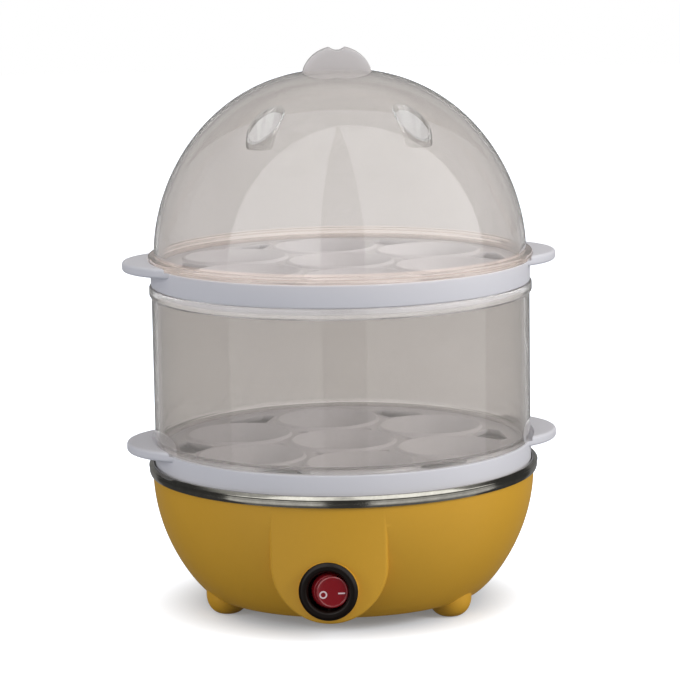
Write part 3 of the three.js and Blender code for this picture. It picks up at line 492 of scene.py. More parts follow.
def moulded_grain_group() -> bpy.types.NodeTree:
    """Makes the group of fine grain and faint mottling of injection-moulded plastic.

    Returns:
        The group's tree.
    """
    sheet = EffectSheet("moulded_grain", ("Colour",), ("Roughness", "Grain Scale", "Grain Depth", "Mottle"))
    given = sheet.given
    cloud = sheet.math("MULTIPLY", sheet.noise(sheet.place, CLOUD_SCALE, 4.0, 0.6), CLOUD_SHARE)
    speck = sheet.math("MULTIPLY", sheet.noise(sheet.place, SPECK_SCALE), SPECK_SHARE)
    swing = sheet.centred(sheet.math("ADD", cloud, speck), given["Mottle"])
    rough = sheet.math("ADD", given["Roughness"], sheet.math("MULTIPLY", swing, MOTTLE_ROUGHNESS))
    grain = sheet.noise(sheet.place, given["Grain Scale"], 3.0)
    bump = {"Strength": given["Grain Depth"], "Distance": GRAIN_RELIEF, "Height": grain}
    return sheet.wired(given["Colour"], sheet.math("ADD", swing, 1.0), rough, bump)


def turned_lay_group() -> bpy.types.NodeTree:
    """Makes the group of fine streaks round the axis of the stack and upright ones across them, and another
    colour below a height that is painted light and shade.

    Returns:
        The group's tree.
    """
    numbers = ("Reflection Paint Below", "Roughness", "Streak Scale", "Streak Depth", "Upright Streak", "Upright From")
    sheet = EffectSheet("turned_lay", ("Colour", "Reflection Paint Colour"), numbers)
    given = sheet.given
    x, y, z = sheet.put("SeparateXYZ", {0: sheet.place}).outputs
    square = sheet.math("ADD", sheet.math("POWER", x, 2.0), sheet.math("POWER", y, 2.0))
    radius = sheet.math("SQRT", square)
    angle = sheet.math("ARCTAN2", y, x)
    round_way = sheet.math("MULTIPLY", angle, LAY_PITCH)
    lay = sheet.put("CombineXYZ", {"X": radius, "Y": round_way, "Z": z}).outputs[0]
    streak = sheet.noise(lay, given["Streak Scale"], 5.0)
    turn = sheet.put("CombineXYZ", {"X": angle, "Y": sheet.math("MULTIPLY", z, TURN_STRETCH)}).outputs[0]
    upright = sheet.noise(turn, TURN_SCALE, 6.0, 0.7)
    outside = sheet.math("GREATER_THAN", radius, given["Upright From"])
    crossed = sheet.centred(upright, sheet.math("MULTIPLY", outside, given["Upright Streak"]))
    swing = sheet.math("SUBTRACT", streak, 0.5)
    shade = sheet.math("ADD", sheet.math("ADD", sheet.math("MULTIPLY", swing, LAY_SHADE), crossed), 1.0)
    # painted light and shade: below the given height the metal's colour is swapped for another
    reflection_paint_mask = sheet.math("LESS_THAN", z, given["Reflection Paint Below"])
    patch = sheet.math("ADD", swing, sheet.noise(sheet.place, PATCH_SCALE))
    rough = sheet.math("ADD", given["Roughness"], sheet.math("MULTIPLY", patch, PATCH_ROUGHNESS))
    bump = {"Strength": given["Streak Depth"], "Distance": STREAK_RELIEF, "Height": streak}
    return sheet.wired(sheet.blend(reflection_paint_mask, given["Colour"], given["Reflection Paint Colour"]), shade, rough, bump)


def clear_flow_group() -> bpy.types.NodeTree:
    """Makes the group of faint clouding and flow ripples of clear plastic, with a paler colour below one
    height and above another that is painted light.

    Returns:
        The group's tree.
    """
    numbers = ("Painted Light Below", "Painted Light Above", "Roughness", "Ripple")
    sheet = EffectSheet("clear_flow", ("Colour", "Painted Light Colour"), numbers)
    given = sheet.given
    height = sheet.put("SeparateXYZ", {0: sheet.place}).outputs["Z"]
    # painted light: below and above the given heights the beads and flange take a paler colour
    below = sheet.math("LESS_THAN", height, given["Painted Light Below"])
    edge = sheet.math("MAXIMUM", below, sheet.math("GREATER_THAN", height, given["Painted Light Above"]))
    cloud = sheet.noise(sheet.place, FLOW_SCALE, 3.0)
    value = sheet.math("ADD", sheet.centred(cloud, FLOW_SHADE), 1.0)
    rough = sheet.math("ADD", given["Roughness"], sheet.math("MULTIPLY", cloud, FLOW_ROUGHNESS))
    ripple = sheet.noise(sheet.place, RIPPLE_SCALE, 1.0)
    bump = {"Strength": given["Ripple"], "Distance": RIPPLE_RELIEF, "Height": ripple}
    return sheet.wired(sheet.blend(edge, given["Colour"], given["Painted Light Colour"]), value, rough, bump)


class Effects:
    """The shader groups, each built once."""

    moulded_grain = moulded_grain_group()
    turned_lay = turned_lay_group()
    clear_flow = clear_flow_group()


def dressed_material(
    name: str, group: bpy.types.NodeTree, group_inputs: dict, shader_inputs: dict
) -> bpy.types.Material:
    """Makes a material from one effect group and one Principled BSDF.

    Args:
        name: name of the material.
        group: the effect that gives colour, roughness and normal.
        group_inputs: value of each of the group's inputs.
        shader_inputs: constants of the shader itself.

    Returns:
        The material.
    """
    material = bpy.data.materials.new(name)
    material.use_nodes = True
    sheet = NodeSheet(material.node_tree)
    effect = sheet.put("Group", None, node_tree=group)
    for label, value in group_inputs.items():
        effect.inputs[label].default_value = (*value, 1) if isinstance(value, tuple) else value
    linked = {"Base Color": "Colour", "Roughness": "Roughness", "Normal": "Normal"}
    inputs = {socket: effect.outputs[label] for socket, label in linked.items()}
    shader = sheet.put("BsdfPrincipled", inputs | shader_inputs)
    sheet.put("OutputMaterial", {"Surface": shader.outputs[0]})
    return material


@dataclass(frozen=True)
class MouldedPlastic:
    """An opaque moulded plastic or rubber with a fine grain."""

    name: str
    colour: Colour
    roughness: float = 0.4
    grain_scale: float = 2600.0
    grain_depth: float = 0.12
    mottle: float = 0.08
    coat: float = 0.0
    subsurface: float = 0.0
    subsurface_scale: float = 2 * MM
    gloss: float = 0.5

    def material(self) -> bpy.types.Material:
        """Builds the material.

        Returns:
            The material.
        """
        effect = {
            "Colour": self.colour,
            "Roughness": self.roughness,
            "Grain Scale": self.grain_scale,
            "Grain Depth": self.grain_depth,
            "Mottle": self.mottle,
        }
        shader = {
            "Coat Weight": self.coat,
            "Specular IOR Level": self.gloss,
            "Subsurface Weight": self.subsurface,
            "Subsurface Scale": self.subsurface_scale,
        }
        return dressed_material(self.name, Effects.moulded_grain, effect, shader)


@dataclass(frozen=True)
class PolishedMetal:
    """A metal with fine streaks round the axis, and another colour below a height, painted light and shade.
    """

    name: str
    colour: Colour
    roughness: float = 0.2
    streak_scale: float = 3000.0
    streak_depth: float = 0.1
    upright_streak: float = 0.0
    upright_from: float = 0.0
    # painted light and shade: the colour shown below the given height
    reflection_paint_colour: Colour = (0.5, 0.5, 0.5)
    reflection_paint_below: float = -1.0

    def material(self) -> bpy.types.Material:
        """Builds the material.

        Returns:
            The material.
        """
        effect = {
            "Colour": self.colour,
            "Reflection Paint Colour": self.reflection_paint_colour,
            "Reflection Paint Below": self.reflection_paint_below,
            "Roughness": self.roughness,
            "Streak Scale": self.streak_scale,
            "Streak Depth": self.streak_depth,
            "Upright Streak": self.upright_streak,
            "Upright From": self.upright_from,
        }
        return dressed_material(self.name, Effects.turned_lay, effect, {"Metallic": 1.0})


@dataclass(frozen=True)
class ClearPlastic:
    """A clear moulded plastic, painted paler below one height and above another as painted light in its beads
    and flange.
    """

    name: str
    colour: Colour
    # painted light: the paler colour of the beads and flange
    painted_light_colour: Colour = (0.9, 0.9, 0.9)
    roughness: float = 0.0
    ripple: float = 0.02
    refraction: float = 1.2
    clearness: float = 0.85
    coat: float = 1.0
    coat_refraction: float = 1.5
    coat_roughness: float = 0.04

    def material(self, painted_light_below: float = -1.0, painted_light_above: float = 9.0) -> bpy.types.Material:
        """Builds the material.

        Args:
            painted_light_below: height below which the paler colour, painted light, shows.
            painted_light_above: height above which the paler colour, painted light, shows.

        Returns:
            The material.
        """
        effect = {
            "Colour": self.colour,
            "Painted Light Colour": self.painted_light_colour,
            "Painted Light Below": painted_light_below,
            "Painted Light Above": painted_light_above,
            "Roughness": self.roughness,
            "Ripple": self.ripple,
        }
        shader = {
            "Transmission Weight": self.clearness,
            "IOR": self.refraction,
            "Coat Weight": self.coat,
            "Coat IOR": self.coat_refraction,
            "Coat Roughness": self.coat_roughness,
        }
        return dressed_material(self.name, Effects.clear_flow, effect, shader)


Finish = MouldedPlastic | PolishedMetal | ClearPlastic


@dataclass
class Camera:
    """The photograph's camera, placed by its distance from the axis and its height."""

    distance: float = 1150 * MM
    height: float = 295.1 * MM
    azimuth: float = 4.9
    pitch: float = 9.511
    roll: float = -0.963
    yaw: float = 0.029
    focal_pixels: float = 2923.8
    frame_pixels: float = 695.0
    sensor: float = 36.0
    clip_start: float = 10 * MM

    def build(self) -> None:
        """Adds the camera and makes it the scene's."""
        pitch = math.radians(self.pitch)
        forward = Vector((0, math.cos(pitch), -math.sin(pitch)))
        right = Vector((1, 0, 0))
        up = right.cross(forward)
        turn = Matrix.Rotation(math.radians(self.yaw), 3, up)
        forward, right = turn @ forward, turn @ right
        roll = math.radians(self.roll)
        side = right * math.cos(roll) + up * math.sin(roll)
        top = up * math.cos(roll) - right * math.sin(roll)
        pose = Matrix((side, top, -forward)).transposed().to_4x4()
        pose.translation = Vector((0, -self.distance, self.height))
        data = bpy.data.cameras.new("camera")
        data.sensor_width = self.sensor
        data.lens = self.focal_pixels * self.sensor / self.frame_pixels
        data.clip_start = self.clip_start
        camera = bpy.data.objects.new("camera", data)
        camera.matrix_world = turn_by(self.azimuth) @ pose
        bpy.context.scene.collection.objects.link(camera)
        bpy.context.scene.camera = camera


@dataclass(frozen=True)
class Lamp:
    """A square area lamp that reflections leave out."""

    name: str
    place: Corner
    size: float
    power: float
    colour: Colour

    def build(self, aim: Vector) -> None:
        """Adds the lamp, facing a point.

        Args:
            aim: the point.
        """
        data = bpy.data.lights.new(self.name, "AREA")
        data.size = self.size
        data.energy = self.power
        data.color = self.colour
        lamp = bpy.data.objects.new(self.name, data)
        place = Vector(self.place)
        facing = (aim - place).to_track_quat("-Z", "Y").to_matrix().to_4x4()
        lamp.matrix_world = Matrix.Translation(place) @ facing
        lamp.visible_glossy = False
        lamp.visible_transmission = False
        bpy.context.scene.collection.objects.link(lamp)


@dataclass
class Studio:
    """Floor, world and lamps.

    The world that glossy rays meet has two tall soft panels, left and right of the camera, and a dark gap
    between them.
    """

    floor_radius: float = 3.0
    floor_grey: float = 0.75
    floor_bounce: float = 0.4
    # painted shadow: the floor's glow is held low in an oval round the base and rises to the full glow
    # further out
    floor_tint: Point = (0.918, 1.138)
    painted_shadow_level: float = 0.16
    glow_far: float = 1.0
    painted_shadow_inner: float = 0.038
    painted_shadow_outer: float = 0.090
    painted_shadow_stretch: float = 0.92
    ambient: float = 0.42
    camera_azimuth: float = Camera.azimuth
    left_panel: Point = (-72.0, -11.5)
    right_panel: Point = (15.0, 98.0)
    panel_edge: float = 2.0
    panel_slope: Point = (-0.05, 0.12)
    panel_levels: Point = (0.55, 1.7)
    low_slope: Point = (-0.75, -0.3)
    low_level: float = 0.2
    gap_level: float = 0.05
    gap_closing: Point = (0.15, 0.4)
    gap_share: float = 0.55
    roof_level: float = 0.6
    roof_slope: Point = (0.6, 0.85)
    backdrop_level: float = 0.2
    backdrop_reach: Point = (0.74, 0.82)
    aim_height: float = 110 * MM
    lamps: tuple[Lamp, ...] = (
        Lamp("key", (1.0, -0.45, 0.55), 0.5, 7.6, (1, 0.99, 0.97)),
        Lamp("fill", (-1.0, -0.6, 0.35), 0.6, 3.8, (0.97, 0.98, 1)),
        Lamp("top", (0.1, 0.15, 1.1), 0.7, 2.4, (1, 1, 1)),
    )

    def panel(self, sheet: NodeSheet, azimuth: Socket, reach: Point) -> Socket:
        """Brightness of one panel over the azimuth from the camera.

        Args:
            sheet: the world's node sheet.
            azimuth: angle in degrees, positive to the camera's right.
            reach: first and last azimuth of the panel.

        Returns:
            A value from 0 to 1.
        """
        edge = self.panel_edge
        rise = sheet.spread(azimuth, reach[0] - edge / 2, reach[0] + edge / 2, 0.0, 1.0)
        fall = sheet.spread(azimuth, reach[1] - edge / 2, reach[1] + edge / 2, 1.0, 0.0)
        return sheet.math("MULTIPLY", rise, fall)

    def mirrored_level(self, sheet: NodeSheet) -> Socket:
        """Brightness of the surroundings that glossy rays meet.

        Args:
            sheet: the world's node sheet.

        Returns:
            The brightness.
        """
        ray = sheet.put("TexCoord").outputs["Generated"]
        direction = sheet.put("SeparateXYZ", {0: ray}).outputs
        turn = sheet.math("ARCTAN2", direction["X"], sheet.math("MULTIPLY", direction["Y"], -1.0))
        azimuth = sheet.math("SUBTRACT", sheet.math("MULTIPLY", turn, 180 / math.pi), self.camera_azimuth)
        left = self.panel(sheet, azimuth, self.left_panel)
        right = self.panel(sheet, azimuth, self.right_panel)
        raised = sheet.spread(direction["Z"], *self.panel_slope, *self.panel_levels)
        lowered = sheet.spread(direction["Z"], *self.low_slope, self.low_level, 1.0)
        level = sheet.math("MULTIPLY", raised, lowered)
        front = self.panel(sheet, azimuth, (self.left_panel[0], self.right_panel[1]))
        closing = sheet.spread(direction["Z"], *self.gap_closing, 0.0, self.gap_share)
        closed = sheet.math("MULTIPLY", front, closing)
        lit = sheet.math("MAXIMUM", sheet.math("MAXIMUM", left, right), closed)
        panels = sheet.math("MULTIPLY", lit, level)
        roof = sheet.spread(direction["Z"], *self.roof_slope, 0.0, self.roof_level)
        turn_back = math.radians(self.camera_azimuth)
        away = (-math.sin(turn_back), math.cos(turn_back), 0.0)
        facing = sheet.put("VectorMath", {0: ray, 1: away}, operation="DOT_PRODUCT").outputs["Value"]
        backdrop = sheet.spread(facing, *self.backdrop_reach, 0.0, self.backdrop_level)
        far = sheet.math("MAXIMUM", roof, backdrop)
        return sheet.math("MAXIMUM", sheet.math("MAXIMUM", panels, far), self.gap_level)

    def world(self) -> None:
        """Sets a white background and a plain soft light from all round."""
        world = bpy.data.worlds.new("studio")
        world.use_nodes = True
        sheet = NodeSheet(world.node_tree)
        rays = sheet.put("LightPath").outputs
        shown = sheet.math("MAXIMUM", rays["Is Camera Ray"], rays["Is Transmission Ray"])
        mirrored = sheet.math("MULTIPLY", rays["Is Glossy Ray"], self.mirrored_level(sheet))
        soft = sheet.math("MULTIPLY", rays["Is Diffuse Ray"], self.ambient)
        strength = sheet.math("MAXIMUM", sheet.math("MAXIMUM", soft, mirrored), shown)
        sky = sheet.put("Background", {"Color": (1, 1, 1, 1), "Strength": strength})
        sheet.put("OutputWorld", {"Surface": sky.outputs[0]})
        bpy.context.scene.world = world

    def floor(self) -> None:
        """Adds the pale floor, which keeps the shadow and fades into the background, with its glow dimmed in
        an oval round the base as a painted shadow.
        """
        sketch = bmesh.new()
        bmesh.ops.create_circle(sketch, cap_ends=True, radius=self.floor_radius, segments=96)
        mesh = bpy.data.meshes.new("floor")
        sketch.to_mesh(mesh)
        sketch.free()
        floor = bpy.data.objects.new("floor", mesh)
        bpy.context.scene.collection.objects.link(floor)
        floor.visible_glossy = False
        material = bpy.data.materials.new("pale_floor")
        material.use_nodes = True
        sheet = NodeSheet(material.node_tree)
        rays = sheet.put("LightPath").outputs
        seen = sheet.math("MAXIMUM", rays["Is Camera Ray"], rays["Is Transmission Ray"])
        grey = sheet.spread(seen, 0.0, 1.0, self.floor_bounce, self.floor_grey)
        red, blue = (sheet.math("MULTIPLY", grey, part) for part in self.floor_tint)
        colour = sheet.put("CombineColor", {"Red": red, "Green": grey, "Blue": blue}).outputs[0]
        matt = sheet.put("BsdfDiffuse", {"Color": colour})
        place = sheet.put("TexCoord").outputs["Object"]
        # painted shadow: the glow falls off in an oval round the base
        shape = (self.painted_shadow_stretch, 1.0, 1.0)
        drawn_in = sheet.put("VectorMath", {0: place, 1: shape}, operation="MULTIPLY").outputs[0]
        distance = sheet.put("VectorMath", {0: drawn_in}, operation="LENGTH").outputs["Value"]
        reach = (self.painted_shadow_inner, self.painted_shadow_outer, self.painted_shadow_level, self.glow_far)
        glow_and_painted_shadow = sheet.spread(distance, *reach, "SMOOTHSTEP")
        light = sheet.put("Emission", {"Color": (1, 1, 1, 1), "Strength": sheet.math("MULTIPLY", seen, glow_and_painted_shadow)})
        both = sheet.put("AddShader", {0: matt.outputs[0], 1: light.outputs[0]})
        sheet.put("OutputMaterial", {"Surface": both.outputs[0]})
        floor.data.materials.append(material)

    def build(self) -> None:
        """Builds the whole studio."""
        self.world()
        self.floor()
        for lamp in self.lamps:
            lamp.build(Vector((0, 0, self.aim_height)))


YELLOW_SHELL = MouldedPlastic("mustard_shell", (0.69, 0.37, 0.028), 0.42, 2400.0, 0.10, 0.10)
WHITE_TRAY = MouldedPlastic("white_tray", (0.72, 0.71, 0.75), 0.38, 1800.0, 0.04, 0.04)
PAN_STEEL = PolishedMetal(
    "pan_steel",
    (0.48, 0.465, 0.415),
    0.06,
    upright_streak=0.8,
    upright_from=75.4 * MM,
    # painted reflection: below 55.9 mm the steel is painted lighter, standing in for the bright reflection on
    # the rim's lower band; the dish inside takes the same lighter colour
    reflection_paint_colour=(0.62, 0.60, 0.54),
    reflection_paint_below=55.9 * MM,
)
# painted light: the second colour of the wall and the dome is a paler tone painted in their beads and flange
CLEAR_WALL = ClearPlastic("clear_wall", (0.597, 0.564, 0.532), (0.80, 0.775, 0.75))
CLEAR_DOME = ClearPlastic("clear_dome", (0.72, 0.692, 0.668), (0.90, 0.81, 0.75))
CLEAR_POCKET = ClearPlastic("clear_pocket", (0.79, 0.785, 0.775), refraction=1.1, clearness=0.93, coat=0.9)
FROSTED_KNOB = ClearPlastic("frosted_knob", (0.69, 0.665, 0.665), roughness=0.4, clearness=0.35, coat=0.3)
BEZEL_BLACK = MouldedPlastic("bezel_black", (0.006, 0.003, 0.002), 0.30, 3000.0, 0.05, 0.3, gloss=0.25)
ROCKER_RED = MouldedPlastic(
    "rocker_red", (0.27, 0.009, 0.015), 0.18, 3000.0, 0.02, 0.3, coat=0.6, subsurface=0.2
)
MARK_WHITE = MouldedPlastic("mark_white", (0.80, 0.62, 0.64), 0.5)
GLAND_RUBBER = MouldedPlastic("gland_rubber", (0.02, 0.02, 0.021), 0.6, 2000.0, 0.2, 0.3)
SCREW_ZINC = PolishedMetal("screw_zinc", (0.55, 0.55, 0.53), 0.35)


@dataclass
class BaseHousing:
    """Round yellow housing with its peg feet, the raised apron and the rear collar."""

    rim_radius: float = 76.2 * MM
    rim_height: float = 56.4 * MM
    wall: float = 2.2 * MM
    shoulder_height: float = 54.25 * MM
    floor_radius: float = 55.6 * MM
    floor_height: float = 6.1 * MM
    bowl_powers: Point = (1.18, 1.98)
    apron_half_width: float = 22.4 * MM
    apron_bottom: float = 8.4 * MM
    apron_curve: float = 22.3 * MM
    apron_taper: float = 1.9 * MM
    apron_power: float = 1.3
    apron_rounding: float = 1.1 * MM
    apron_facets: int = 6
    apron_slice: float = 1.5 * MM
    pad_radius: float = 11.4 * MM
    pad_front: float = 75.6 * MM
    pad_depth: float = 14 * MM
    switch_height: float = 21.7 * MM
    pad_rounding: float = 0.2 * MM
    switch_bore: float = 10.1 * MM
    switch_bore_length: float = 24 * MM
    foot_radius: float = 8.5 * MM
    foot_flat: float = 2.6 * MM
    foot_curve: float = 7.5 * MM
    foot_circle: float = 51 * MM
    rear_foot: float = 88.5
    foot_count: int = 3
    pillar_circle: float = 42 * MM
    tower_radius: float = 5.6 * MM
    tower_height: float = 8 * MM
    tower_bore: float = 2.3 * MM
    well_radius: float = 4.4 * MM
    well_depth: float = 5 * MM
    inlet_height: float = 23 * MM
    inlet_radius: float = 9 * MM
    inlet_face: float = 71.5 * MM
    inlet_depth: float = 30 * MM
    inlet_rounding: float = 0.8 * MM
    inlet_bore: float = 5.4 * MM
    inlet_bore_length: float = 20 * MM
    slot_count: int = 8
    slot_length: float = 14 * MM
    slot_width: float = 2.6 * MM
    slot_circle: float = 20 * MM
    boss_radius: float = 3.4 * MM
    boss_height: float = 6 * MM
    boss_pitch: float = 19 * MM
    boss_offset: float = 41 * MM
    facets: int = 192

    def bowl_side(self, inset: float, steps: int) -> list[Point]:
        """Side of the bowl from its shoulder to its floor, drawn in by an inset.

        Args:
            inset: how far the surface is drawn in.
            steps: number of facets.

        Returns:
            (radius, height) points.
        """
        top = self.rim_radius - inset
        bottom = self.floor_radius - inset / 2
        floor = self.floor_height + inset
        curve = superellipse((top - bottom, self.shoulder_height - floor), self.bowl_powers, steps)
        return [(bottom + across, self.shoulder_height - up) for across, up in curve]

    def bowl(self, inset: float, top: float, steps: int) -> Solid:
        """Solid bowl up to a height.

        Args:
            inset: how far the surface is drawn in.
            top: the height.
            steps: number of facets of its side.

        Returns:
            The solid.
        """
        side = self.bowl_side(inset, steps)
        outline = [(0.0, top), (side[0][0], top), *side, (0.0, side[-1][1])]
        return Solid.turned(outline, self.facets)

    def apron_radius(self, height: float) -> float:
        """Radius of the apron's surface at a height."""
        share = (self.shoulder_height - height) / (self.shoulder_height - self.apron_bottom)
        return self.rim_radius - self.apron_taper * max(share, 0.0) ** self.apron_power

    def apron(self, inset: float, rounding: float) -> Solid:
        """Raised U-shaped apron.

        Args:
            inset: how far the surface is drawn in.
            rounding: rounding of its front edge.

        Returns:
            The solid.
        """
        half = self.apron_half_width - inset
        bottom = self.apron_bottom + inset
        spring = self.apron_bottom + self.apron_curve
        curve = arc_points((0.0, spring), (half, spring - bottom), 0.0, -180.0, 56)
        outline = [*curve, (-half, self.shoulder_height), (half, self.shoulder_height)]
        depth = self.rim_radius - self.floor_radius
        block = Solid.prism([(x, -z) for x, z in outline], 0.0, depth)
        mesh = block.facing_front().moved(Matrix.Scale(-1, 4, (0, 0, 1))).thing.data
        sketch = bmesh.new()
        sketch.from_mesh(mesh)
        bmesh.ops.recalc_face_normals(sketch, faces=sketch.faces)
        if rounding > 0:
            front = [
                e
                for e in sketch.edges
                if all(abs(v.co.y + depth) < TOUCH for v in e.verts)
                and any(v.co.z < self.shoulder_height - TOUCH for v in e.verts)
            ]
            bevel_edges(sketch, front, rounding, self.apron_facets)
        spans = ((Vector((1, 0, 0)), -half, half), (Vector((0, 0, 1)), bottom, self.shoulder_height))
        for axis, low, high in spans:
            count = round((high - low) / self.apron_slice)
            for index in range(1, count):
                spot = axis * (low + (high - low) * index / count)
                everything = sketch.verts[:] + sketch.edges[:] + sketch.faces[:]
                bmesh.ops.bisect_plane(sketch, geom=everything, plane_co=spot, plane_no=axis)
        for vert in sketch.verts:
            radius = self.apron_radius(vert.co.z) - inset
            vert.co.y += depth - math.sqrt(radius**2 - vert.co.x**2)
        sketch.to_mesh(mesh)
        sketch.free()
        return block

    def foot(self, angle: float) -> Solid:
        """Rounded peg foot at an angle round the axis.

        Args:
            angle: the angle, in degrees.

        Returns:
            The solid.
        """
        reach = (self.foot_radius - self.foot_flat, self.foot_curve)
        round_end = arc_points((self.foot_flat, self.foot_curve), reach, -90, 0, 10)
        top = self.floor_height + self.wall + self.foot_radius
        peg = Solid.turned([(0.0, 0.0), *round_end, (self.foot_radius, top), (0.0, top)], 48)
        spot = spot_at(self.foot_circle, angle)
        return peg.shifted(spot.x, spot.y)

    def plug(self, radius: float, depth: float, rounding: float, facets: int) -> Solid:
        """Round plug that runs down from the origin, with its upper edge rounded."""
        return Solid.lathe([(0, 0, 0), (radius, 0, rounding), (radius, -depth, 0), (0, -depth, 0)], facets)

    def slot_cutter(self, angle: float) -> Solid:
        """Cutter of one ventilation slot.

        Args:
            angle: its place round the axis, in degrees.

        Returns:
            The solid.
        """
        half = (self.slot_length - self.slot_width) / 2
        end = self.slot_width / 2
        right = arc_points((half, 0), (end, end), -90, 90, 8)
        outline = right + arc_points((-half, 0), (end, end), 90, 270, 8)
        cutter = Solid.prism(outline, self.floor_height - OVERRUN, self.floor_height + self.wall + OVERRUN)
        return cutter.shifted(self.slot_circle).swung(angle)

    def pillar_spots(self) -> list[Vector]:
        """Places of the three pillars and their screws."""
        return [spot_at(self.pillar_circle, -90 + 120 * i) for i in range(3)]

    def build(self) -> None:
        """Builds the housing."""
        body = self.bowl(0.0, self.rim_height, 96).joined(self.apron(0.0, self.apron_rounding))
        pad = self.plug(self.pad_radius, self.pad_depth, self.pad_rounding, 96)
        body.joined(pad.facing_front().shifted(0, -self.pad_front, self.switch_height))
        collar = self.plug(self.inlet_radius, self.inlet_depth, self.inlet_rounding, 64)
        body.joined(collar.facing_back().shifted(0, self.inlet_face, self.inlet_height))
        body.joined(*[self.foot(self.rear_foot + 360 * i / self.foot_count) for i in range(self.foot_count)])
        body.cut(self.bowl(self.wall, self.rim_height + OVERRUN, 48), self.apron(self.wall, 0.0))
        floor_top = self.floor_height + self.wall
        for spot in self.pillar_spots():
            tower = Solid.post(self.tower_radius, self.floor_height + ROOTING, floor_top + self.tower_height)
            body.joined(tower.shifted(spot.x, spot.y))
            well_top = self.floor_height + self.well_depth
            well = Solid.post(self.well_radius, self.floor_height - OVERRUN, well_top)
            bore = Solid.post(self.tower_bore, self.floor_height, floor_top + self.tower_height + OVERRUN)
            body.cut(well.shifted(spot.x, spot.y), bore.shifted(spot.x, spot.y))
        for side in (-1, 1):
            boss = Solid.post(self.boss_radius, self.floor_height + ROOTING, floor_top + self.boss_height)
            body.joined(boss.shifted(side * self.boss_pitch / 2, self.boss_offset))
        body.cut(*[self.slot_cutter(360 * (i + 0.5) / self.slot_count) for i in range(self.slot_count)])
        bore = Solid.post(self.switch_bore, -OVERRUN, self.switch_bore_length, 64)
        body.cut(bore.facing_front().shifted(0, -self.floor_radius, self.switch_height))
        inlet = Solid.post(self.inlet_bore, 0, self.inlet_bore_length, 48)
        body.cut(inlet.facing_back().shifted(0, self.floor_radius, self.inlet_height))
        body.finished("housing_shell", "base", "yellow_shell", YELLOW_SHELL.material(), ("base_housing",))


@dataclass
class HeatingPan:
    """Polished dish with its rim rolled over the housing's edge."""

    sheet: float = 0.7 * MM
    roll_radius: float = 77.8 * MM
    roll_bottom: float = 54.1 * MM
    roll_top: float = 58.5 * MM
    roll_rounding: float = 1.2 * MM
    roll_inside: Point = (1.2 * MM, 1.8 * MM)
    hem_rise: Point = (1.0 * MM, 1.2 * MM)
    hem_rounding: float = 1.5 * MM
    crown_inset: float = 1.1 * MM
    crown_rounding: float = 0.8 * MM
    groove_height: float = 56.7 * MM
    groove: float = 0.3 * MM
    bulge: float = 0.5 * MM
    ledge_radius: float = 75.5 * MM
    ledge_height: float = 57.3 * MM
    ledge_slope: float = 0.3 * MM
    ledge_inside: Point = (0.5 * MM, 0.9 * MM)
    throat_radius: float = 72.9 * MM
    throat_bottom: float = 53.3 * MM
    throat_drop: float = 0.3 * MM
    throat_roundings: Point = (1.5 * MM, 1.2 * MM)
    shoulder_radius: float = 69.5 * MM
    shoulder_height: float = 46.5 * MM
    shoulder_inside: Point = (0.6 * MM, 0.4 * MM)
    shoulder_rounding: float = 3 * MM
    floor_radius: float = 60 * MM
    floor_height: float = 43 * MM
    floor_inside: float = 0.3 * MM
    floor_rounding: float = 8 * MM
    facets: int = 224

    def build(self) -> None:
        """Builds the pan."""
        over = rounded_outline(
            [
                (self.roll_radius - self.bulge, self.roll_bottom, 0),
                (self.roll_radius - self.groove / 2, self.roll_bottom + self.hem_rise[0], self.hem_rounding),
                (self.roll_radius - self.groove, self.groove_height, Edge.HAIR),
                (self.roll_radius, self.groove_height + self.groove, Edge.CRISP),
                (self.roll_radius, self.roll_top - self.roll_rounding, self.roll_rounding),
                (self.roll_radius - self.crown_inset, self.roll_top, self.crown_rounding),
                (self.ledge_radius + self.ledge_slope, self.roll_top, Edge.FULL),
                (self.ledge_radius, self.ledge_height, Edge.SOFT),
                (self.throat_radius, self.ledge_height, Edge.FULL),
                (self.throat_radius, self.throat_bottom, self.throat_roundings[0]),
                (self.shoulder_radius, self.shoulder_height, self.shoulder_rounding),
                (self.floor_radius, self.floor_height, self.floor_rounding),
                (0, self.floor_height, 0),
            ],
            False,
            6,
        )
        throat = self.throat_radius + self.sheet
        under = rounded_outline(
            [
                (0, self.floor_height - self.sheet, 0),
                (self.floor_radius + self.floor_inside, self.floor_height - self.sheet, self.floor_rounding),
                (
                    self.shoulder_radius + self.shoulder_inside[0],
                    self.shoulder_height - self.shoulder_inside[1],
                    self.shoulder_rounding,
                ),
                (throat, self.throat_bottom - self.throat_drop, self.throat_roundings[1]),
                (throat, self.ledge_height - self.sheet, Edge.CRISP),
                (self.ledge_radius + self.ledge_inside[0], self.ledge_height - self.sheet, Edge.CRISP),
                (self.ledge_radius + self.ledge_inside[1], self.roll_top - self.sheet, Edge.CRISP),
                (self.roll_radius - self.roll_inside[0], self.roll_top - self.sheet, Edge.CRISP),
                (self.roll_radius - self.sheet, self.roll_top - self.roll_inside[1], Edge.FULL),
                (self.roll_radius - self.sheet, self.roll_bottom + self.hem_rise[1], Edge.FULL),
                (self.roll_radius - self.bulge - self.sheet, self.roll_bottom, 0),
            ],
            False,
            3,
        )
        pan = Solid.turned([*under, *over], self.facets)
        pan.finished("pan_dish", "base", "pan_steel", PAN_STEEL.material(), ("heating_pan",))


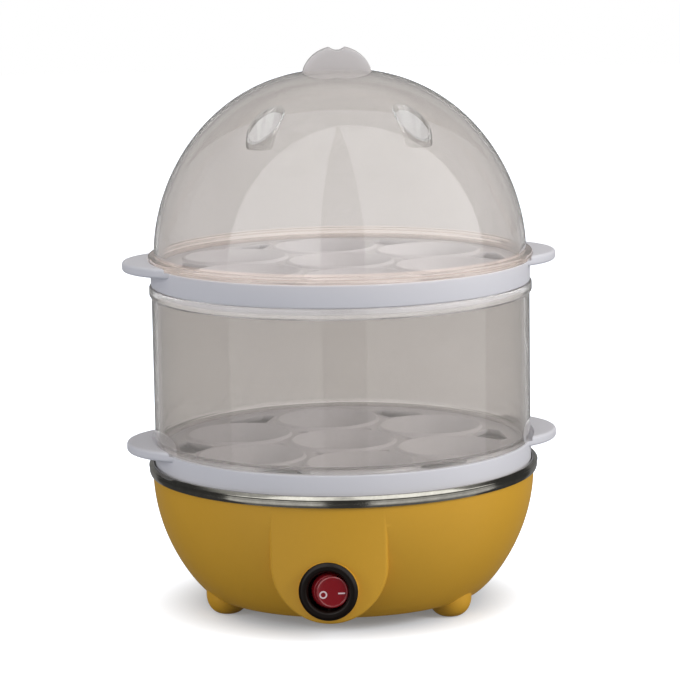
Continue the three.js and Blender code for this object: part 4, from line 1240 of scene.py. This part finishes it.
@dataclass
class Tray:
    """White tray with lifting ears, open cups and pentagonal steam windows."""

    name: str
    node: str
    base: float
    turn: float = 12.9
    outer_radius: float = 75.2 * MM
    wall: float = 1.8 * MM
    height: float = 8.7 * MM
    rim_depth: float = 1.5 * MM
    lip_radius: float = 72.3 * MM
    lip_wall: float = 1.6 * MM
    lip_depth: float = 3 * MM
    ear_radius: float = 30 * MM
    ear_offset: float = 56.5 * MM
    ear_thickness: float = 3.9 * MM
    ear_rise: float = 1.7 * MM
    ear_clearance: float = 76.5 * MM
    ear_rounding: float = 1.2 * MM
    ear_facets: int = 160
    cup_mouth: float = 19.6 * MM
    cup_throat: float = 14.5 * MM
    cup_wall: float = 1.5 * MM
    cup_roundings: Point = (0.8 * MM, 1.0 * MM)
    cup_depth: float = 8 * MM
    bead_height: float = 1 * MM
    bead_width: float = 1.4 * MM
    bead_root: float = 0.2 * MM
    cup_circle: float = 45.5 * MM
    ring_count: int = 6
    window_base: Point = (65.5 * MM, 8.5 * MM)
    window_shoulder: Point = (61.5 * MM, 12.2 * MM)
    window_apex: float = 51.5 * MM
    window_roundings: Point = (1 * MM, 1.2 * MM)
    apex_growth: float = 1.3
    window_frame: float = 0.8 * MM
    frame_height: float = 0.25 * MM
    window_thinning: float = 1.6 * MM
    window_sheet: float = 0.7 * MM
    vent_radius: float = 2.2 * MM
    vent_circle: float = 26 * MM
    facets: int = 224
    cup_facets: int = 72

    def plate(self) -> Solid:
        """Deck, band, locating lip and rim.

        Returns:
            The solid.
        """
        inner = self.outer_radius - self.wall
        deck = self.height - self.rim_depth
        lip_inner = self.lip_radius - self.lip_wall
        outline = [
            (0, deck - self.wall, 0),
            (inner, deck - self.wall, Edge.SOFT),
            (inner, self.wall, Edge.FINE),
            (lip_inner, self.wall, Edge.SOFT),
            (lip_inner, -self.lip_depth, Edge.SOFT),
            (self.lip_radius, -self.lip_depth, Edge.SOFT),
            (self.lip_radius, 0, Edge.FINE),
            (self.outer_radius, 0, Edge.ROUND),
            (self.outer_radius, self.height, Edge.FULL),
            (inner, self.height, Edge.SOFT),
            (inner, deck, Edge.ROUND),
            (0, deck, 0),
        ]
        return Solid.lathe(outline, self.facets)

    def ear(self, side: int) -> Solid:
        """One crescent ear, kept outside the band's middle.

        Args:
            side: 1 towards +X, -1 towards -X.

        Returns:
            The solid.
        """
        top = self.height + self.ear_rise
        low, edge = top - self.ear_thickness, self.ear_rounding
        corners = [(0, low, 0), (self.ear_radius, low, edge), (self.ear_radius, top, edge), (0, top, 0)]
        disc = Solid.lathe(corners, self.ear_facets, steps=7).shifted(side * self.ear_offset)
        core = Solid.post(self.outer_radius - self.wall / 2, -self.height, 2 * self.height, self.facets)
        seat = Solid.post(self.ear_clearance, self.height, 2 * self.height, self.facets)
        return disc.cut(core, seat)

    def cup_spots(self) -> list[Vector]:
        """Middles of the centre cup and the ring cups."""
        ring = [spot_at(self.cup_circle, -90 + 360 * i / self.ring_count) for i in range(self.ring_count)]
        return [Vector((0, 0, 0)), *ring]

    def cup_outside(self) -> Solid:
        """Outer surface of a cup with its raised bead, filled.

        Returns:
            The solid.
        """
        deck = self.height - self.rim_depth
        bead = self.cup_mouth + self.bead_width
        outline = [
            (0, deck - self.cup_depth, 0),
            (self.cup_throat + self.cup_wall, deck - self.cup_depth, Edge.ROUND),
            (self.cup_mouth + self.cup_wall, deck - self.wall, Edge.CRISP),
            (bead + self.cup_wall / 2, deck - self.bead_root, Edge.HAIR),
            (bead, deck + self.bead_height, Edge.FULL),
            (0, deck + self.bead_height, 0),
        ]
        return Solid.lathe(outline, self.cup_facets)

    def cup_inside(self) -> Solid:
        """Cutter of a cup's funnel and of its open bottom.

        Returns:
            The solid.
        """
        deck = self.height - self.rim_depth
        slope = (self.cup_mouth - self.cup_throat) / self.cup_depth
        low = deck - self.cup_depth - OVERRUN
        high = deck + self.bead_height + OVERRUN
        outline = [
            (0, low, 0),
            (self.cup_throat, low, 0),
            (self.cup_throat, deck - self.cup_depth + self.cup_wall, self.cup_roundings[0]),
            (self.cup_mouth, deck, self.cup_roundings[1]),
            (self.cup_mouth + slope * (self.bead_height + OVERRUN), high, 0),
            (0, high, 0),
        ]
        return Solid.lathe(outline, self.cup_facets)

    def window(self, angle: float, grow: float, low: float, high: float) -> Solid:
        """Prism of a pentagonal window with its point towards the axis.

        Args:
            angle: its place round the axis, in degrees.
            grow: how far its sides stand out from the window's own.
            low: height of its lower face.
            high: height of its upper face.

        Returns:
            The solid.
        """
        base, shoulder = self.window_base, self.window_shoulder
        foot_edge, apex_edge = self.window_roundings
        reach = base[0] + grow
        corners = [
            (reach, -base[1] - grow / 2, foot_edge),
            (reach, base[1] + grow / 2, foot_edge),
            (shoulder[0], shoulder[1] + grow, foot_edge),
            (self.window_apex - self.apex_growth * grow, 0, apex_edge),
            (shoulder[0], -shoulder[1] - grow, foot_edge),
        ]
        pane = Solid.prism(rounded_outline(corners), low, high)
        return pane.swung(angle)

    def vent_cutter(self, angle: float) -> Solid:
        """Cutter of a small steam hole beside the centre cup.

        Args:
            angle: its place round the axis, in degrees.

        Returns:
            The solid.
        """
        deck = self.height - self.rim_depth
        hole = Solid.post(self.vent_radius, deck - self.wall - OVERRUN, deck + OVERRUN, 24)
        return hole.shifted(self.vent_circle).swung(angle)

    def build(self, material: bpy.types.Material) -> None:
        """Builds the tray.

        Args:
            material: its finish.
        """
        spots = self.cup_spots()
        tray = self.plate().joined(self.ear(1), self.ear(-1))
        tray.joined(*[self.cup_outside().shifted(spot.x, spot.y) for spot in spots])
        tray.cut(*[self.cup_inside().shifted(spot.x, spot.y) for spot in spots])
        gaps = [-90 + 360 * (i + 0.5) / self.ring_count for i in range(self.ring_count)]
        deck = self.height - self.rim_depth
        floor, top = deck - self.wall, deck + self.frame_height
        tray.joined(*[self.window(angle, self.window_frame, floor + ROOTING / 2, top) for angle in gaps])
        tray.cut(*[self.window(angle, 0.0, floor - OVERRUN, top + OVERRUN) for angle in gaps])
        thin = deck - self.window_sheet
        tray.cut(*[self.window(angle, self.window_thinning, floor - OVERRUN, thin) for angle in gaps])
        tray.cut(*[self.vent_cutter(angle) for angle in gaps])
        tray.swung(self.turn).shifted(z=self.base)
        tray.finished(self.name, self.node, "white_tray", material, (self.node,))


@dataclass
class TierWall:
    """Clear cylinder between the trays."""

    base: float
    radius: float = 75 * MM
    wall: float = 1.8 * MM
    height: float = 63 * MM
    bead_radius: float = 75.9 * MM
    bead_height: float = 4.4 * MM
    bead_slope: float = 0.8 * MM
    bead_roundings: Point = (0.7 * MM, 0.9 * MM)
    lip_radius: float = 72.9 * MM
    lip_depth: float = 1.2 * MM
    lip_wall: float = 1.5 * MM
    painted_light_foot: float = 1.2 * MM
    facets: int = 256

    def build(self) -> None:
        """Builds the wall."""
        inner = self.radius - self.wall
        bead_foot = self.height - self.bead_height
        outline = [
            (inner, self.lip_depth + self.lip_wall, Edge.CRISP),
            (self.lip_radius - self.lip_wall, self.lip_depth, Edge.CRISP),
            (self.lip_radius - self.lip_wall, -self.lip_depth, Edge.CRISP),
            (self.lip_radius, -self.lip_depth, Edge.CRISP),
            (self.lip_radius, 0, Edge.HAIR),
            (self.radius, 0, Edge.ROUND),
            (self.radius, bead_foot, Edge.ROUND),
            (self.bead_radius, bead_foot + self.bead_slope, self.bead_roundings[0]),
            (self.bead_radius, self.height, self.bead_roundings[1]),
            (inner, self.height, Edge.SOFT),
        ]
        wall = Solid.lathe(outline, self.facets, closed=True).shifted(z=self.base)
        # painted light: the wall's foot and its top bead take the paler colour
        finish = CLEAR_WALL.material(self.base + self.painted_light_foot, self.base + self.height - self.bead_height)
        wall.finished("clear_tier_wall", "tier_wall", "clear_cover", finish, ("tier_wall",), clear=True)


@dataclass
class DomeLid:
    """Clear dome with its flange, blade knob and two steam pockets."""

    base: float
    turn: float = 5.5
    flange_radius: float = 76.1 * MM
    flange_height: float = 2.9 * MM
    groove: float = 0.5 * MM
    radius: float = 73.7 * MM
    height: float = 71.15 * MM
    skirt: float = 0.8 * MM
    wall: float = 1.7 * MM
    powers: Point = (2.22, 1.83)
    lip_radius: float = 72.9 * MM
    lip_depth: float = 1.2 * MM
    lip_wall: float = 1.5 * MM
    knob_half: float = 14 * MM
    knob_height: float = 8.8 * MM
    knob_root: float = 4 * MM
    knob_thickness: float = 8 * MM
    knob_wall: float = 1.8 * MM
    knob_rounding: float = 0.7 * MM
    notch_radius: float = 4.4 * MM
    notch_depth: float = 1.5 * MM
    pocket_radius: float = 7.0 * MM
    pocket_foot: float = 4.2 * MM
    pocket_spot: Point = (27.3 * MM, -40.0 * MM)
    pocket_shift: Point = (2.8 * MM, -1.0 * MM)
    pocket_floor: float = 48.2 * MM
    pocket_mouth: float = 64 * MM
    pocket_wall: float = 0.8 * MM
    pocket_rounding: float = 1.0 * MM
    pocket_gap: float = MM / 50
    hole_radius: float = 2.2 * MM
    facets: int = 224

    @property
    def spring(self) -> float:
        """Height at which the dome springs."""
        return self.base + self.flange_height + self.skirt

    @property
    def crown(self) -> float:
        """Height of the dome's top."""
        return self.spring + self.height

    def dome(self, inset: float, low: float, steps: int) -> Solid:
        """Solid dome down to a height.

        Args:
            inset: how far the surface is drawn in.
            low: the height.
            steps: number of facets of its side.

        Returns:
            The solid.
        """
        curve = superellipse((self.radius - inset, self.height - inset), self.powers, steps)
        side = [(across, self.spring + up) for across, up in curve[:-1]]
        outline = [(0, low), (self.radius - inset, low), *side, (0, self.crown - inset)]
        return Solid.turned(outline, self.facets)

    def flange(self) -> Solid:
        """Two-ridged flange with its locating lip.

        Returns:
            The solid.
        """
        inner = self.radius - self.wall
        edge, middle = self.flange_radius, self.flange_height / 2
        outline = [
            (inner, self.lip_depth + self.lip_wall, 0),
            (self.lip_radius - self.lip_wall, self.lip_depth, Edge.CRISP),
            (self.lip_radius - self.lip_wall, -self.lip_depth, Edge.CRISP),
            (self.lip_radius, -self.lip_depth, Edge.CRISP),
            (self.lip_radius, 0, Edge.HAIR),
            (edge, 0, Edge.ROUND),
            (edge, middle - self.groove, Edge.SOFT),
            (edge - self.groove, middle, Edge.FINE),
            (edge, middle + self.groove, Edge.SOFT),
            (edge, self.flange_height, Edge.ROUND),
            (inner, self.flange_height, 0),
        ]
        return Solid.lathe(outline, self.facets, closed=True).shifted(z=self.base)

    def blade(self, inset: float) -> Solid:
        """Blade of the knob, drawn in by an inset.

        Args:
            inset: how far the surface is drawn in.

        Returns:
            The solid.
        """
        crown = self.knob_height - inset
        reach = (self.knob_half - inset, crown + self.knob_root)
        outline = arc_points((0, -self.knob_root), reach, 0, 180, 48)
        half = self.knob_thickness / 2 - inset
        blade = Solid.prism(outline, -half, half)
        return blade.facing_front().shifted(z=self.crown)

    def notch(self) -> Solid:
        """Cutter of the finger notch in the knob's crown.

        Returns:
            The solid.
        """
        cutter = Solid.post(self.notch_radius, -self.knob_thickness, self.knob_thickness, 48)
        top = self.crown + self.knob_height
        return cutter.facing_front().shifted(z=top + self.notch_radius - self.notch_depth)

    def funnel(self, side: int, grow: float) -> Solid:
        """Slanting funnel of one steam pocket, upright on its outer side.

        Args:
            side: -1 on the left, 1 on the right.
            grow: how far its surface stands out from the pocket's own.

        Returns:
            The solid, which runs up past the dome.
        """
        rise = self.pocket_mouth - self.pocket_floor
        top = self.crown - self.base - self.pocket_floor
        outline = [
            (0, -grow, 0),
            (self.pocket_foot + grow, -grow, self.pocket_rounding),
            (self.pocket_radius + grow, rise, 0),
            (self.pocket_radius + grow, top, 0),
            (0, top, 0),
        ]
        out, forward = side * self.pocket_shift[0], self.pocket_shift[1]
        slant = Matrix.Shear("XY", 4, (-out / rise, -forward / rise))
        x, y = side * self.pocket_spot[0] + out, self.pocket_spot[1] + forward
        return Solid.lathe(outline, 72).moved(slant).shifted(x, y, self.base + self.pocket_floor)

    def pocket(self, side: int, label: str) -> None:
        """Builds one steam pocket.

        Args:
            side: -1 on the left, 1 on the right.
            label: the side in words.
        """
        shell = self.funnel(side, self.pocket_wall).within(self.dome(0.0, self.base, 72))
        floor = self.base + self.pocket_floor
        hole = Solid.post(self.hole_radius, floor - self.pocket_wall - OVERRUN, floor + OVERRUN, 32)
        x = side * (self.pocket_spot[0] + self.pocket_shift[0])
        shell.cut(self.funnel(side, 0.0), hole.shifted(x, self.pocket_spot[1] + self.pocket_shift[1]))
        shell.swung(self.turn)
        name = f"steam_pocket_{label}"
        shell.finished(name, "dome_lid", "clear_cover", CLEAR_POCKET.material(), clear=True)

    def knob(self) -> None:
        """Builds the hollow blade of the knob."""
        blade = self.blade(0.0).cut(self.notch()).bevelled(self.knob_rounding, 3)
        blade.cut(self.blade(self.knob_wall).cut(self.notch()), self.dome(0.0, self.base, 72))
        blade.swung(self.turn)
        blade.finished("frosted_knob", "dome_lid", "clear_cover", FROSTED_KNOB.material(), clear=True)

    def build(self) -> None:
        """Builds the lid."""
        self.knob()
        lid = self.dome(0.0, self.base + self.flange_height / 2, 72).joined(self.flange())
        lid.cut(self.dome(self.wall, self.base - OVERRUN, 72))
        lid.cut(self.blade(self.knob_wall).cut(self.notch()))
        for side, label in ((-1, "left"), (1, "right")):
            lid.cut(self.funnel(side, self.pocket_wall + self.pocket_gap))
            self.pocket(side, label)
        lid.swung(self.turn)
        # painted light: the flange below the dome's spring takes the paler colour
        finish = CLEAR_DOME.material(self.spring, 9.0)
        lid.finished("clear_dome_lid", "dome_lid", "clear_cover", finish, ("dome_lid",), clear=True)


@dataclass
class RoundSwitch:
    """Round rocker switch: black bezel and body, red rocker and its two marks."""

    height: float = 21.7 * MM
    front: float = 77.6 * MM
    bezel_radius: float = 11.3 * MM
    opening_radius: float = 7.75 * MM
    bezel_thickness: float = 2 * MM
    bezel_seat: float = 0.2 * MM
    seat_rounding: float = 0.15 * MM
    bezel_edge: float = 0.9 * MM
    bezel_inset: float = 1.1 * MM
    bezel_rounding: float = 1.2 * MM
    opening_slope: float = 0.7 * MM
    body_radius: float = 9.7 * MM
    body_depth: float = 13 * MM
    back_thickness: float = 2 * MM
    pivot_depth: float = 6.5 * MM
    face_radius: float = 6.1 * MM
    face_shift: float = 0.6 * MM
    skirt_radius: float = 7.1 * MM
    face_reach: float = 6.5 * MM
    skirt_reach: float = 3 * MM
    back_reach: float = 2.5 * MM
    land: float = 0.9 * MM
    face_drop: float = 1.6 * MM
    hollow_radius: float = 5.2 * MM
    hollow_top: float = 4.0 * MM
    face_root: float = 4.2 * MM
    face_edge: float = 0.5 * MM
    face_slope: float = 0.3 * MM
    face_rounding: float = 0.25 * MM
    dish_depths: Point = (0.25 * MM, 0.15 * MM)
    trunnion_slack: float = 0.4 * MM
    socket_reach: float = 12 * MM
    trunnion_radius: float = 1.1 * MM
    trunnion_reach: float = 9 * MM
    tilt: float = 10.0
    ring_spot: Point = (-2.95 * MM, -0.85 * MM)
    ring_radius: float = 1.5 * MM
    stroke: float = 0.55 * MM
    dash_spot: Point = (4.0 * MM, -0.5 * MM)
    dash_length: float = 2.6 * MM
    mark_proud: float = 0.12 * MM
    mark_drop: float = 0.2 * MM
    mark_root: float = 0.3 * MM

    def bezel(self) -> None:
        """Builds the bezel and the hollow body behind it."""
        depth = self.bezel_thickness + self.body_depth
        seat = self.bezel_seat - self.bezel_thickness
        outline = [
            (0, -depth, 0),
            (self.body_radius, -depth, Edge.ROUND),
            (self.body_radius, seat, Edge.HAIR),
            (self.bezel_radius, seat, self.seat_rounding),
            (self.bezel_radius, -self.bezel_edge, Edge.FULL),
            (self.bezel_radius - self.bezel_inset, 0, self.bezel_rounding),
            (self.opening_radius + self.opening_slope, 0, Edge.FULL),
            (self.opening_radius, -self.bezel_edge, Edge.SOFT),
            (self.opening_radius, self.back_thickness - depth, 0),
            (0, self.back_thickness - depth, 0),
        ]
        body = Solid.lathe(outline, 128, steps=7).facing_front().shifted(0, -self.front, self.height)
        pivot = self.front - self.pivot_depth
        bore = self.trunnion_radius + self.trunnion_slack
        sockets = Solid.post(bore, -self.socket_reach, self.socket_reach, 24)
        body.cut(sockets.shifted(0, -pivot, self.height))
        body.finished("switch_bezel", "base", "black_nylon", BEZEL_BLACK.material(), ("switch_body",))

    def placed(self, solid: Solid) -> Solid:
        """Moves a solid from the rocker's own axes, +Z out of its face, to its tilted place."""
        pivot = Vector((0, self.pivot_depth - self.front, self.height))
        return solid.facing_front().moved(turn_by(self.tilt), Matrix.Translation(pivot))

    def rocker(self) -> None:
        """Builds the rocker."""
        top = self.face_reach - self.face_drop
        skirt = [
            (0, top, 0),
            (self.skirt_radius - self.land, top, Edge.CRISP),
            (self.skirt_radius, self.skirt_reach, Edge.SOFT),
            (self.skirt_radius, -self.back_reach, Edge.CRISP),
            (self.hollow_radius, -self.back_reach, Edge.FINE),
            (self.hollow_radius, self.hollow_top, Edge.SOFT),
            (0, self.hollow_top, 0),
        ]
        face = [
            (0, self.face_reach - self.dish_depths[0], 0),
            (self.face_radius - self.land, self.face_reach - self.dish_depths[1], Edge.CRISP),
            (self.face_radius - self.face_edge, self.face_reach, Edge.FINE),
            (self.face_radius, self.face_reach - self.face_slope, self.face_rounding),
            (self.face_radius, self.face_root, 0),
            (0, self.face_root, 0),
        ]
        body = Solid.lathe(skirt, 128).joined(Solid.lathe(face, 128).shifted(self.face_shift))
        for side in (-1, 1):
            root = self.skirt_radius - self.trunnion_slack
            pin = Solid.post(self.trunnion_radius, root, self.trunnion_reach, 24)
            body.joined(pin.swung(-90 * side, "X"))
        body = self.placed(body)
        body.finished("rocker_button", "rocker", "red_rocker", ROCKER_RED.material(), ("switch_rocker",))

    def marks(self) -> None:
        """Builds the printed ring and dash on the rocker's face."""
        low = self.face_reach - self.mark_root
        high = self.face_reach - self.mark_drop + self.mark_proud
        inner, outer = self.ring_radius - self.stroke, self.ring_radius
        ring = Solid.turned([(inner, low), (outer, low), (outer, high), (inner, high)], 48, True)
        ring.shifted(*self.ring_spot)
        half, thick = self.dash_length / 2, self.stroke / 2
        dash = Solid.prism([(-half, -thick), (half, -thick), (half, thick), (-half, thick)], low, high)
        ring.joined(dash.shifted(*self.dash_spot))
        self.placed(ring).finished("rocker_marks", "rocker", "red_rocker", MARK_WHITE.material())

    def build(self) -> None:
        """Builds the whole switch."""
        self.bezel()
        self.rocker()
        self.marks()


@dataclass
class RearInlet:
    """Rubber gland in the rear collar."""

    height: float = 23 * MM
    face: float = 71.7 * MM
    bore_radius: float = 3.3 * MM
    flange_radius: float = 7.4 * MM
    flange_thickness: float = 2 * MM
    flange_taper: float = 0.5 * MM
    flange_rounding: float = 0.9 * MM
    sleeve_radius: float = 5.2 * MM
    sleeve_length: float = 10 * MM

    def build(self) -> None:
        """Builds the gland."""
        outline = [
            (self.bore_radius, -self.sleeve_length, Edge.CRISP),
            (self.sleeve_radius, -self.sleeve_length, Edge.CRISP),
            (self.sleeve_radius, 0, Edge.HAIR),
            (self.flange_radius, 0, Edge.CRISP),
            (self.flange_radius - self.flange_taper, self.flange_thickness, self.flange_rounding),
            (self.bore_radius, self.flange_thickness, Edge.ROUND),
        ]
        gland = Solid.lathe(outline, 64, closed=True).facing_back()
        gland.shifted(0, self.face, self.height)
        gland.finished("inlet_gland", "base", "black_rubber", GLAND_RUBBER.material(), ("cord_gland",))


@dataclass
class BaseScrews:
    """Three cross-head screws in the wells under the base."""

    circle: float = 42 * MM
    head_top: float = 10.9 * MM
    head_radius: float = 3.8 * MM
    head_height: float = 2.4 * MM
    head_flat_share: float = 0.7
    head_rounding: float = 1.2 * MM
    head_rise: float = 1.0 * MM
    shank_radius: float = 1.9 * MM
    shank_length: float = 11 * MM
    tip_height: float = 1 * MM
    recess_reach: float = 2.1 * MM
    recess_width: float = 0.9 * MM
    recess_depth: float = 1.2 * MM
    recess_turn: float = 20.0

    def build(self) -> None:
        """Builds the three screws."""
        material = SCREW_ZINC.material()
        low = self.head_top - self.head_height
        for index in range(3):
            outline = [
                (0, low, 0),
                (self.head_radius * self.head_flat_share, low, self.head_rounding),
                (self.head_radius, low + self.head_rise, Edge.FULL),
                (self.head_radius, self.head_top, Edge.FINE),
                (self.shank_radius, self.head_top, Edge.FINE),
                (self.shank_radius, self.head_top + self.shank_length - self.tip_height, Edge.CRISP),
                (0, self.head_top + self.shank_length, 0),
            ]
            screw = Solid.lathe(outline, 40)
            reach, half = self.recess_reach, self.recess_width / 2
            for turn in (0, 90):
                bar = Solid.prism(
                    [(-reach, -half), (reach, -half), (reach, half), (-reach, half)],
                    low - ROOTING,
                    low + self.recess_depth,
                )
                screw.cut(bar.swung(turn + self.recess_turn * index))
            spot = spot_at(self.circle, -90 + 120 * index)
            screw.shifted(spot.x, spot.y)
            name = f"cross_screw_{index + 1}"
            screw.finished(name, "base", "plain_steel", material, (f"base_screw_{index + 1}",))


class InnerWorks:
    """The pieces inside the base, which keep their solids and get their finishes."""

    finishes: dict[str, Finish] = {
        "plain_steel": PolishedMetal("plain_steel", (0.52, 0.52, 0.50), 0.32),
        "cast_aluminium": PolishedMetal("cast_aluminium", (0.60, 0.61, 0.62), 0.5, 900.0, 0.3),
        "bright_brass": PolishedMetal("bright_brass", (0.66, 0.50, 0.22), 0.3),
        "black_nylon": MouldedPlastic("black_nylon", (0.02, 0.02, 0.022), 0.45),
        "lamp_glass": ClearPlastic("lamp_glass", (0.9, 0.75, 0.6)),
        "pale_resin": MouldedPlastic("pale_resin", (0.66, 0.62, 0.52), 0.55),
        "lead_brown": MouldedPlastic("lead_brown", (0.12, 0.05, 0.02), 0.5),
        "lead_blue": MouldedPlastic("lead_blue", (0.03, 0.08, 0.30), 0.5),
        "lead_green": MouldedPlastic("lead_green", (0.10, 0.26, 0.06), 0.5),
    }

    def build(self) -> None:
        """Dresses every node of the frame that is still shown."""
        slots = {row["node"]: row["material_slot"] for row in frame["record"]["subparts"]}
        made = {slot: finish.material() for slot, finish in self.finishes.items()}
        for name, node in frame["nodes"].items():
            if node.hide_render:
                continue
            node.data.materials.clear()
            node.data.materials.append(made[slots[name]])
            LOG.info("%s keeps its solid in %s", name, slots[name])


def main() -> None:
    """Builds the studio and every sub-assembly in order."""
    logging.basicConfig(level=logging.INFO, format="%(message)s")
    bpy.context.scene.view_settings.view_transform = "Standard"
    Camera().build()
    Studio().build()
    BaseHousing().build()
    HeatingPan().build()
    white = WHITE_TRAY.material()
    for node in ("lower_tray", "upper_tray"):
        lip_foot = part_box(node)[0].z
        Tray(f"{node}_moulding", node, lip_foot + Tray.lip_depth).build(white)
    TierWall(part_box("tier_wall")[0].z + TierWall.lip_depth).build()
    DomeLid(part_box("dome_lid")[0].z + DomeLid.lip_depth).build()
    RoundSwitch().build()
    RearInlet().build()
    BaseScrews().build()
    InnerWorks().build()


if __name__ == "__main__":
    main()
